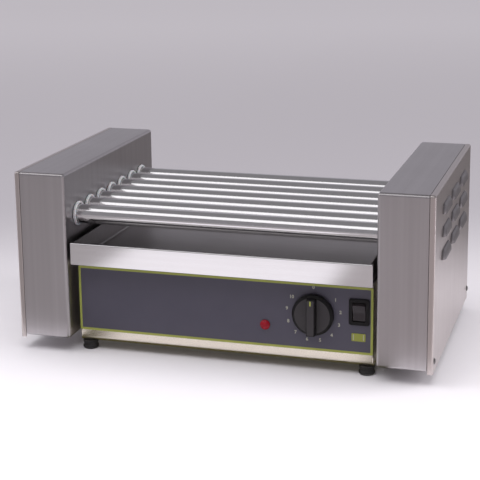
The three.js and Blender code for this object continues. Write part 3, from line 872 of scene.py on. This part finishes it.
def build_tray():
    """A deep pan of folded sheet behind a bright front lip with a rolled top and bent ends."""
    low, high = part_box("drip_tray")
    lip_half = high.x
    pan_half = lip_half - 3 * MM
    pan_front = low.y + 1.35 * MM
    pan = folded_box(
        "drip_tray_pan",
        (-pan_half, pan_front, low.z),
        (pan_half, high.y, high.z),
        [(0, 0, 1)],
        TRAY_BEND,
    )
    piece(shaded(pan), LOOKS["tray_steel"], "tray", "tray_steel", "drip_tray")

    bend = 1.6 * MM
    return_depth = 5 * MM
    lip = folded_box(
        "drip_tray_lip",
        (-lip_half, low.y, low.z),
        (lip_half, low.y + return_depth, high.z),
        [(0, 1, 0), (0, 0, -1)],
        bend,
        0.9 * MM,
    )
    piece(shaded(lip), LOOKS["lip_steel"], "tray", "tray_steel")


# ---------------------------------------------------------------- base


def control_cutters(front, back):
    """Solids for the lamp's, the knob's and the switch's openings, from front to back in Y."""
    lamp = middle("pilot_lamp")
    knob = middle("control_knob")
    switch = middle("switch_frame")
    return [
        drill(5.1 * MM, "y", front, back, (lamp.x, 0, lamp.z), 32),
        drill(5.6 * MM, "y", front, back, (knob.x, 0, knob.z), 32),
        block(
            "hole",
            (switch.x - 10.9 * MM, front, switch.z - 14.9 * MM),
            (switch.x + 10.9 * MM, back, switch.z + 14.9 * MM),
        ),
    ]


def build_front_panel():
    """The folded front with its wide bend along the bottom and returns down both sides."""
    low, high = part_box("front_panel")
    bm = box_mesh(low, (high.x, PANEL_BACK, high.z))
    gone = faces_towards(bm, [(0, 1, 0), (0, 0, 1)])
    bmesh.ops.delete(bm, geom=gone, context="FACES")
    weight = bm.edges.layers.float.new("bevel_weight_edge")
    for edge in bm.edges:
        if len(edge.link_faces) < 2:
            continue
        level = abs(edge.verts[0].co.z - edge.verts[1].co.z) < MM
        across = abs(edge.verts[0].co.x - edge.verts[1].co.x) > 0.1
        edge[weight] = 1.0 if level and across else 0.3
    panel = from_bmesh("front_panel_sheet", bm)
    bends = panel.modifiers.new("bends", "BEVEL")
    bends.width = PANEL_BEND
    bends.segments = 6
    bends.limit_method = "WEIGHT"
    sheet = panel.modifiers.new("sheet", "SOLIDIFY")
    sheet.thickness = SHEET
    sheet.offset = -1
    baked(panel)
    cut_with(panel, control_cutters(low.y - 2 * MM, low.y + 3 * MM))
    piece(shaded(panel), LOOKS["panel_steel_with_painted_reflection"], "chassis", "brushed_steel", "front_panel")


def frame_outline(name, half_x, bottom, top, width, front, back, corner):
    """A flat rectangular ring, seen along Y."""
    bm = bmesh.new()
    loops = []
    for inset in (0.0, width):
        x = half_x - inset
        corners = [(-x, bottom + inset), (x, bottom + inset), (x, top - inset), (-x, top - inset)]
        outline = filleted(corners, max(corner - inset, 0.3 * MM), 4, closed=True)
        loops.append([[bm.verts.new((p.x, at, p.y)) for p in outline] for at in (front, back)])
    outer, inner = loops
    rings = [outer[0], inner[0], inner[1], outer[1], outer[0]]
    count = len(outer[0])
    for index in range(count):
        after = (index + 1) % count
        for first, second in zip(rings, rings[1:]):
            bm.faces.new((first[index], first[after], second[after], second[index]))
    return from_bmesh(name, bm)


def build_film():
    """The printed film: a dark sheet with a lime border and the knob's scale."""
    low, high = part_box("control_decal")
    panel_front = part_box("front_panel")[0].y
    back = panel_front - HAIR
    film = plate("control_film_sheet", low, high, 1.5 * MM, 4, low.y, back)
    cut_with(film, control_cutters(low.y - MM, back + MM))
    piece(shaded(film), LOOKS["control_film"], "chassis", "control_film", "control_decal")
    border = frame_outline(
        "control_film_border", high.x - HAIR, low.z + HAIR, high.z - HAIR,
        BORDER_WIDTH, low.y - HAIR, low.y, 1.5 * MM,
    )
    piece(border, LOOKS["border_print"], "chassis", "control_film")
    build_scale(low.y)


def digit_mesh(number):
    """A number in bold figures as thin as print, in the XY plane."""
    curve = bpy.data.curves.new("figure", "FONT")
    curve.body = str(number)
    curve.size = DIGIT_SIZE
    curve.offset = DIGIT_WEIGHT
    curve.align_x = "CENTER"
    curve.align_y = "CENTER"
    curve.extrude = HAIR / 2
    curve.resolution_u = 3
    holder = link("figure", curve)
    graph = bpy.context.evaluated_depsgraph_get()
    mesh = bpy.data.meshes.new_from_object(holder.evaluated_get(graph))
    bpy.data.objects.remove(holder)
    return mesh


def build_scale(front):
    """Numbers from 0 to 10 round the knob."""
    knob = middle("control_knob")
    bm = bmesh.new()
    steps = 10
    for number in range(steps + 1):
        degrees = 0
        if number:
            degrees = SCALE_START + (SCALE_END - SCALE_START) * (number - 1) / (steps - 1)
        angle = math.radians(degrees)
        outward = Vector((math.sin(angle), 0, math.cos(angle)))
        at = Vector((knob.x, front - HAIR / 2, knob.z)) + outward * SCALE_RADIUS
        figure = digit_mesh(number)
        figure.transform(Matrix.Translation(at) @ Matrix.Rotation(math.pi / 2, 4, "X"))
        bm.from_mesh(figure)
    scale = from_bmesh("knob_scale", bm)
    piece(scale, LOOKS["scale_print"], "chassis", "control_film")


def build_base_pan():
    """Floor and sides of the base, with narrow front strips either side of the panel."""
    low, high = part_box("base_pan")
    pan = folded_box(
        "base_pan_sheet",
        (low.x, BASE_FRONT, low.z),
        (high.x, high.y, high.z),
        [(0, 0, 1), (0, 1, 0)],
        2.0 * MM,
    )
    opening = block(
        "hole",
        (-PANEL_OPENING_HALF, BASE_FRONT - 5 * MM, low.z + 2.4 * MM),
        (PANEL_OPENING_HALF, BASE_FRONT + 5 * MM, high.z + 5 * MM),
    )
    cutters = [opening]
    for x_word in ("left", "right"):
        for y_word in ("front", "rear"):
            foot = middle(f"foot_{y_word}_{x_word}")
            if foot.y > BASE_FRONT:
                cutters.append(drill(3.4 * MM, "z", 5 * MM, 20 * MM, (foot.x, foot.y, 0), 24))
    cut_with(pan, cutters)
    piece(shaded(pan), LOOKS["base_steel"], "chassis", "brushed_steel", "base_pan")


def build_rear_screw(name, centre):
    """A pan-head screw with a cross recess, facing the back."""
    head = 2.6 * MM
    rise = 1.1 * MM
    shank = 1.3 * MM
    dome = [
        (head * math.cos(a), rise * (0.35 + 0.65 * math.sin(a)))
        for a in [math.pi / 2 * k / 6 for k in range(7)]
    ]
    dome[-1] = (0, rise)
    profile = [(0, -3 * MM), (shank, -3 * MM), (shank, 0), (head, 0)] + dome
    screw = lathe(name, profile, "y", centre, 32)
    arm = 1.5 * MM
    width = 0.35 * MM
    ends = (centre[1] + 0.5 * MM, centre[1] + 2 * MM)
    x, z = centre[0], centre[2]
    cut_with(screw, [
        block("arm", (x - arm, ends[0], z - width), (x + arm, ends[1], z + width)),
        block("arm", (x - width, ends[0], z - arm), (x + width, ends[1], z + arm)),
    ])
    piece(shaded(screw), LOOKS["screw_steel"], "chassis", "screw_steel")


def build_rear_panel():
    """A flat plate with the cord's hole, held by six screws."""
    low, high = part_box("rear_panel")
    gland = middle("cord_gland")
    panel = plate("rear_panel_plate", low, high, 3 * MM, 5, low.y, high.y)
    hole = drill(8.9 * MM, "y", low.y - MM, high.y + MM, (gland.x, 0, gland.z), 40)
    cut_with(panel, [hole])
    bevelled(panel, 0.25 * MM, 2)
    piece(shaded(panel), LOOKS["brushed_steel"], "chassis", "brushed_steel", "rear_panel")
    inset = 9 * MM
    number = 0
    for x in (low.x + inset, 0, high.x - inset):
        for z in (low.z + inset, high.z - inset):
            number += 1
            build_rear_screw(f"rear_panel_screw_{number}", (x, high.y, z))


def build_gland():
    """A cable gland: a hexagon collar and a ribbed domed nut round an open bore."""
    low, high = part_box("cord_gland")
    centre = middle("cord_gland")
    collar_back = high.y - 7 * MM
    bore = 4 * MM
    outline = [
        (bore, low.y), (8.4 * MM, low.y), (8.4 * MM, collar_back + 3.2 * MM),
        (9.2 * MM, collar_back + 3.2 * MM), (8.6 * MM, high.y - 1.2 * MM),
        (6.4 * MM, high.y), (bore, high.y),
    ]
    radii = [0.3 * MM, 0.3 * MM, 0, 0.5 * MM, 1.2 * MM, 1.0 * MM, 0.6 * MM]
    body = lathe("body", filleted(outline, radii, 5, closed=True), "y", (centre.x, 0, centre.z), 64, True)
    across = (high.z - low.z) / 2
    hexagon = [
        (across * math.cos(math.pi * k / 3), across * math.sin(math.pi * k / 3)) for k in range(6)
    ]
    outline = filleted(hexagon, 0.8 * MM, 3, closed=True)
    points = [Vector((centre.x + x, centre.z + z)) for x, z in outline]
    collar = prism("collar", points, "y", collar_back, collar_back + 3.4 * MM)
    ribs = []
    for step in range(18):
        angle = 2 * math.pi * step / 18
        rib = block("rib", (-0.45 * MM, 0, 8.2 * MM), (0.45 * MM, 2.2 * MM, 9.6 * MM), 0.2 * MM, 2)
        turn = Matrix.Rotation(angle, 4, "Y")
        place = Matrix.Translation((centre.x, collar_back + 3.2 * MM, centre.z))
        rib.data.transform(place @ turn)
        ribs.append(rib)
    gland = joined("cord_gland_body", [body, collar] + ribs)
    piece(shaded(gland), LOOKS["black_plastic"], "chassis", "black_plastic", "cord_gland")


def build_foot(node):
    """A turned rubber foot with a moulded rib round it and a recess for its screw underneath."""
    low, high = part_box(node)
    centre = ((low.x + high.x) / 2, (low.y + high.y) / 2, 0)
    radius = (high.x - low.x) / 2
    shoulder = 11.7 * MM
    outline = [
        (0, 2.5 * MM), (3.6 * MM, 2.5 * MM), (3.6 * MM, 0), (radius - 1.6 * MM, 0),
        (radius, 1.8 * MM), (radius, 4.2 * MM), (radius - 0.9 * MM, 5.2 * MM),
        (radius - 0.9 * MM, 8.2 * MM), (radius - 0.2 * MM, 9 * MM), (radius - 0.2 * MM, shoulder),
        (3 * MM, shoulder), (3 * MM, high.z), (0, high.z),
    ]
    foot = lathe(node + "_rubber", filleted(outline, 0.5 * MM, 3), "z", centre, 56)
    piece(shaded(foot), LOOKS["foot_rubber"], "chassis", "foot_rubber", node)


# ---------------------------------------------------------------- controls


def build_label():
    """A blank power label with a pale bar near each end."""
    low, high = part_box("power_label")
    front = low.y
    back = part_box("control_decal")[0].y - HAIR
    label = plate("power_label_plate", low, high, 0.8 * MM, 4, front, back)
    piece(shaded(label), LOOKS["label_film"], "chassis", "label_film", "power_label")
    bars = []
    for x in (low.x + 2.4 * MM, high.x - 2.4 * MM):
        bar = block(
            "bar", (x - 0.5 * MM, front - HAIR, low.z + 1.2 * MM), (x + 0.5 * MM, front, high.z - 1.2 * MM)
        )
        bars.append(bar)
    piece(joined("power_label_bars", bars), LOOKS["scale_print"], "chassis", "label_film")


def build_lamp():
    """A round lens with a stepped, domed front, held in the panel by its barrel."""
    low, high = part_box("pilot_lamp")
    centre = middle("pilot_lamp")
    radius = (high.x - low.x) / 2
    barrel = 4.6 * MM
    seat = low.y + 5 * MM
    outline = [(0, high.y), (barrel, high.y), (barrel, seat), (radius, seat), (radius, seat - 1.4 * MM)]
    rings = 4
    dome = []
    for step in range(rings):
        ring = radius * (0.92 - 0.2 * step)
        rise = 1.6 * MM + (3.1 * MM) * math.sin(math.pi / 2 * (step + 0.4) / rings)
        dome += [(ring, seat - rise + 0.35 * MM), (ring - 0.25 * MM, seat - rise)]
    dome.append((0, low.y))
    profile = filleted(outline + dome, 0.25 * MM, 3)
    lens = lathe("pilot_lamp_lens", profile, "y", (centre.x, 0, centre.z), 56)
    piece(shaded(lens, 50), LOOKS["red_lens"], "chassis", "red_lens", "pilot_lamp")


def build_knob():
    """A disc with a bevelled rim, and a tall grip bar with an inlay and a pointer; the disc's face and the
    inlay are a paler copy of the black plastic, as painted light.
    """
    low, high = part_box("control_knob")
    centre = middle("control_knob")
    radius = (high.x - low.x) / 2
    skirt = low.y + 12.9 * MM
    crown = low.y + 9.9 * MM
    outline = [
        (0, KNOB_BORE_END), (KNOB_BORE, KNOB_BORE_END), (KNOB_BORE, high.y), (radius, high.y),
        (radius, skirt), (radius - 3 * MM, crown), (0, crown + 0.3 * MM),
    ]
    radii = [0, 0, 0.3 * MM, 0.8 * MM, 1.0 * MM, 0.7 * MM, 0]
    disc = lathe("control_knob_disc", filleted(outline, radii, 5), "y", (centre.x, 0, centre.z), 96)
    piece(shaded(disc, 40), LOOKS["black_plastic"], "knob", "black_plastic", "control_knob")

    face_radius = radius - 3.9 * MM
    profile = [
        (0, crown + 0.25 * MM), (face_radius, crown + 0.25 * MM), (face_radius, crown - 0.15 * MM),
        (face_radius - 0.4 * MM, crown - 0.25 * MM), (0, crown - 0.1 * MM),
    ]
    face = lathe("control_knob_face", profile, "y", (centre.x, 0, centre.z), 96)
    piece(shaded(face, 40), LOOKS["knob_face_painted_light"], "knob", "black_plastic")

    half = 5.5 * MM
    reach = 23.5 * MM
    outline = [
        (-half - 0.8 * MM, crown + 0.2 * MM), (-half, low.y + 2 * HAIR),
        (half, low.y + 2 * HAIR), (half + 0.8 * MM, crown + 0.2 * MM),
    ]
    outline = [(centre.x + x, y) for x, y in filleted(outline, 1.4 * MM, 5)]
    bar = prism("control_knob_grip", outline, "z", centre.z - reach, centre.z + reach)
    bevelled(bar, 0.9 * MM, 4, 50)
    piece(shaded(bar, 40), LOOKS["black_plastic"], "knob", "black_plastic")

    inlay_half = half - 1.1 * MM
    inlay_reach = reach - 1.1 * MM
    corners = [
        (centre.x - inlay_half, centre.z - inlay_reach), (centre.x + inlay_half, centre.z - inlay_reach),
        (centre.x + inlay_half, centre.z + inlay_reach), (centre.x - inlay_half, centre.z + inlay_reach),
    ]
    outline = filleted(corners, 1.2 * MM, 5, closed=True)
    inlay = prism("control_knob_inlay", outline, "y", low.y, low.y + 0.4 * MM)
    piece(shaded(inlay), LOOKS["knob_face_painted_light"], "knob", "black_plastic")

    pointer = block(
        "control_knob_pointer",
        (centre.x - 0.9 * MM, low.y - HAIR / 2, centre.z + reach - 7.5 * MM),
        (centre.x + 0.9 * MM, low.y + 0.3 * MM, centre.z + reach - 1.6 * MM),
    )
    piece(pointer, LOOKS["border_print"], "knob", "black_plastic")


def build_switch():
    """A rocker between the cheeks of a bevelled frame."""
    low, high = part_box("switch_frame")
    centre = middle("switch_frame")
    seat = low.y + 2.2 * MM
    bezel = plate("bezel", low, high, 3 * MM, 6, low.y, seat)
    bevelled(bezel, 0.9 * MM, 4)
    opening = block(
        "hole",
        (centre.x - 8.5 * MM, low.y - 2 * MM, centre.z - 12.5 * MM),
        (centre.x + 8.5 * MM, seat + 2 * MM, centre.z + 12.5 * MM),
        0.8 * MM, 3,
    )
    cut_with(bezel, [opening])
    body = folded_box(
        "body",
        (centre.x - 10.5 * MM, seat, centre.z - 14.5 * MM),
        (centre.x + 10.5 * MM, high.y, centre.z + 14.5 * MM),
        [(0, -1, 0)], 1.0 * MM, 1.6 * MM,
    )
    shell = joined("switch_frame_shell", [bezel, body])
    piece(shaded(shell), LOOKS["black_plastic"], "chassis", "black_plastic", "switch_frame")

    tilt = Matrix.Rotation(math.radians(ROCKER_TILT), 2)
    face = []
    for step in range(13):
        share = step / 12 * 2 - 1
        dish = -3.0 * MM - 2.2 * MM * abs(share) ** 1.5
        face.append((dish, 10.6 * MM * share))
    outline = [(3 * MM, -11.2 * MM)] + face + [(3 * MM, 11.2 * MM)]
    points = [tilt @ Vector(p) + Vector(ROCKER_PIVOT) for p in outline]
    rocker = prism("switch_rocker_key", points, "x", centre.x - 8.1 * MM, centre.x + 8.1 * MM)
    bevelled(rocker, 0.6 * MM, 3, 40)
    piece(shaded(rocker, 40), LOOKS["rocker_plastic"], "rocker", "rocker_plastic", "switch_rocker")


# ---------------------------------------------------------------- the CAD nodes that stay


def dress_kept_nodes():
    """Gives the hidden working parts their materials and softens their edges."""
    slots = {row["node"]: row["material_slot"] for row in frame["record"]["subparts"]}
    for name, node in frame["nodes"].items():
        if node.hide_render:
            continue
        look = LOOKS["base_steel"] if name == "deck_plate" else LOOKS[slots[name]]
        node.data.materials.clear()
        node.data.materials.append(look)
        edge = node.modifiers.new("broken_edges", "BEVEL")
        edge.width = 0.2 * MM
        edge.segments = 2
        edge.limit_method = "ANGLE"
        edge.angle_limit = math.radians(50)


# ---------------------------------------------------------------- floor, light and camera


def smooth_fade(tree, value, near, far):
    """0 up to near and 1 from far on, with a soft step between."""
    values = {"Value": value, "From Min": near, "From Max": far}
    made = add_node(tree, "ShaderNodeMapRange", values, interpolation_type="SMOOTHSTEP")
    return made.outputs[0]


def build_floor():
    """A wide pale floor, white in front of the machine and greyer towards the back, where it glows: the
    greying is a painted falloff of light and the glow is painted light.
    """
    bm = bmesh.new()
    bmesh.ops.create_circle(bm, cap_ends=True, segments=96, radius=14)
    floor = from_bmesh("floor", bm)
    if floor.data.polygons[0].normal.z < 0:
        floor.data.flip_normals()
    material, tree, shader = empty_material("floor_paper")
    place = tree.nodes.new("ShaderNodeTexCoord").outputs["Object"]
    parts = add_node(tree, "ShaderNodeSeparateXYZ", {0: place})
    sideways = arithmetic(tree, "MULTIPLY", parts.outputs["X"], -0.291)
    back = arithmetic(tree, "MULTIPLY_ADD", parts.outputs["Y"], 0.957, sideways)
    painted_falloff = smooth_fade(tree, back, -0.28, 0.74)
    distance = smooth_fade(tree, back, 0.8, 4.0)
    grain = noise(tree, place, 35.0, 4.0)
    white = blend_colours(tree, grain, rgb(0.87, 0.85, 0.88), rgb(0.89, 0.87, 0.90))
    colour = blend_colours(tree, painted_falloff, white, rgb(0.20, 0.192, 0.205))
    # Painted light: the floor glows only away from the machine, none under and near it.
    far_glow = blend_colours(tree, distance, rgb(0.28, 0.262, 0.285), rgb(0.44, 0.415, 0.445))
    glow = blend_colours(tree, painted_falloff, rgb(0.0, 0.0, 0.0), far_glow)
    tree.links.new(colour, shader.inputs["Base Color"])
    tree.links.new(glow, shader.inputs["Emission Color"])
    shader.inputs["Emission Strength"].default_value = 1.0
    shader.inputs["Roughness"].default_value = 0.9
    shader.inputs["Specular IOR Level"].default_value = 0.1
    floor.data.materials.append(material)


def glossy_card(name, left, right, front, back, height):
    """A glowing card on the floor that only polished steel sees; its tree, shader and place follow."""
    bm = bmesh.new()
    corners = [(left, front), (right, front), (right, back), (left, back)]
    bm.faces.new([bm.verts.new((x, y, height)) for x, y in corners])
    card = from_bmesh(name, bm)
    card.visible_camera = False
    card.visible_diffuse = False
    card.visible_shadow = False
    card.visible_transmission = False
    material, tree, shader = empty_material(name)
    shader.inputs["Base Color"].default_value = rgb(0, 0, 0)
    shader.inputs["Emission Strength"].default_value = 1.0
    shader.inputs["Specular IOR Level"].default_value = 0.0
    card.data.materials.append(material)
    return tree, shader, tree.nodes.new("ShaderNodeTexCoord").outputs["Object"]


def build_reflector():
    """A grey card with a white middle on the floor in front, seen only in the steel: a painted reflection
    that shows white in the middle of the tray's lip.
    """
    tree, shader, place = glossy_card("front_reflector", -2.6, 2.6, -3.4, -0.228, 4 * MM)
    values = {0: place, 1: (-0.125, -0.58, 0.0)}
    offset = add_node(tree, "ShaderNodeVectorMath", values, operation="SUBTRACT").outputs[0]
    parts = add_node(tree, "ShaderNodeSeparateXYZ", {0: offset})
    across = smooth_fade(tree, arithmetic(tree, "ABSOLUTE", parts.outputs["X"]), 0.17, 0.205)
    deep = smooth_fade(tree, arithmetic(tree, "ABSOLUTE", parts.outputs["Y"]), 0.10, 0.20)
    outside = arithmetic(tree, "MAXIMUM", across, deep)
    rightwards = smooth_fade(tree, parts.outputs["X"], 0.1, 0.4)
    grey = blend_colours(tree, rightwards, rgb(0.40, 0.372, 0.385), rgb(0.51, 0.46, 0.475))
    glow = blend_colours(tree, outside, rgb(1.04, 1.0, 1.05), grey)
    tree.links.new(glow, shader.inputs["Emission Color"])


def build_shade_card():
    """A dark card under the machine and before the ends of its panel; seen only in the steel, its dim glow
    is painted shade from the floor under the machine.
    """
    tree, shader, place = glossy_card("shade_card", -0.215, 0.215, -0.226, 0.14, 3 * MM)
    parts = add_node(tree, "ShaderNodeSeparateXYZ", {0: place})
    under = smooth_fade(tree, parts.outputs["Y"], -0.150, -0.143)
    ends = smooth_fade(tree, arithmetic(tree, "ABSOLUTE", parts.outputs["X"]), 0.15, 0.21)
    tree.links.new(arithmetic(tree, "MAXIMUM", under, ends), shader.inputs["Alpha"])
    shader.inputs["Emission Color"].default_value = rgb(0.075, 0.068, 0.035)


def build_rear_card():
    """A dark card on the floor behind, which shows in the upper half of the upright sides as a painted
    reflection.
    """
    tree, shader, place = glossy_card("rear_card", -0.6, 2.6, 0.17, 3.4, 4 * MM)
    parts = add_node(tree, "ShaderNodeSeparateXYZ", {0: place})
    tree.links.new(smooth_fade(tree, parts.outputs["Y"], 0.18, 0.74), shader.inputs["Alpha"])
    shader.inputs["Emission Color"].default_value = rgb(0.20, 0.185, 0.19)


def build_world():
    """A grey studio: pale low down behind the machine, dark overhead and behind the camera."""
    world = bpy.data.worlds.new("studio")
    bpy.context.scene.world = world
    world.use_nodes = True
    tree = world.node_tree
    direction = tree.nodes.new("ShaderNodeTexCoord").outputs["Generated"]
    parts = add_node(tree, "ShaderNodeSeparateXYZ", {0: direction})
    behind = smooth_fade(tree, parts.outputs["Y"], -0.6, 0.3)
    overhead = smooth_fade(tree, parts.outputs["Z"], 0.35, 0.75)
    low = blend_colours(tree, behind, rgb(0.26, 0.25, 0.265), rgb(0.44, 0.425, 0.465))
    colour = blend_colours(tree, overhead, low, rgb(0.22, 0.215, 0.225))
    tree.links.new(colour, tree.nodes["Background"].inputs["Color"])


def area_light(name, place, target, size, power, colour=(1, 1, 1)):
    data = bpy.data.lights.new(name, "AREA")
    data.shape = "RECTANGLE"
    data.size, data.size_y = size
    data.energy = power
    data.color = colour
    lamp = link(name, data)
    lamp.location = place
    lamp.rotation_euler = (Vector(target) - Vector(place)).to_track_quat("-Z", "Y").to_euler()
    return lamp


def build_lights():
    """Two soft boxes that the steel shows, and two scrims that only light the floor and the plastics."""
    area_light("front_softbox", (-0.6, -1.0, 1.7), (-0.2, 0, 0.1), (2.8, 0.95), 8, (1.0, 0.985, 1.0))
    area_light("left_softbox", (-2.1, -0.6, 1.2), (0, 0, 0.1), (0.8, 1.2), 5, (1.0, 0.985, 1.0))
    scrims = [
        area_light("overhead_scrim", (-0.1, -0.4, 2.3), (0, -0.1, 0), (3.4, 3.0), 57, (1.0, 0.985, 1.0)),
        area_light("right_scrim", (2.3, 0.5, 1.4), (0.2, 0, 0.1), (1.4, 1.6), 32, (1.0, 0.97, 0.975)),
    ]
    for scrim in scrims:
        scrim.visible_glossy = False


def build_camera():
    """A long lens to the right of the middle, looking slightly down."""
    data = bpy.data.cameras.new("camera")
    data.lens = 99.85
    data.sensor_width = 36
    data.shift_y = -0.15
    data.clip_start = 0.05
    data.clip_end = 60
    camera = link("camera", data)
    camera.location = (0.49417, -1.67669, 0.60901)
    yaw, pitch, roll = math.radians(16.93), math.radians(12.38), math.radians(0.67)
    forward = Vector((
        -math.sin(yaw) * math.cos(pitch), math.cos(yaw) * math.cos(pitch), -math.sin(pitch)
    ))
    look = forward.to_track_quat("-Z", "Y").to_matrix()
    camera.rotation_euler = (look @ Matrix.Rotation(-roll, 3, "Z")).to_euler()
    bpy.context.scene.camera = camera


def build_machine():
    for word, side in SIDES:
        build_housing(word, side)
        build_cover(word, side)
        for end in ("front", "rear"):
            build_cover_screw(word, side, end)
        for number in range(1, ROLLERS + 1):
            build_bush(word, side, number)
    for number in range(1, ROLLERS + 1):
        build_roller(number)
    build_tray()
    build_front_panel()
    build_film()
    build_base_pan()
    build_rear_panel()
    build_gland()
    for x_word in ("left", "right"):
        for y_word in ("front", "rear"):
            build_foot(f"foot_{y_word}_{x_word}")
    build_label()
    build_lamp()
    build_knob()
    build_switch()
    dress_kept_nodes()


build_machine()
build_floor()
build_reflector()
build_shade_card()
build_rear_card()
build_world()
build_lights()
build_camera()
bpy.context.scene.view_settings.view_transform = "Standard"
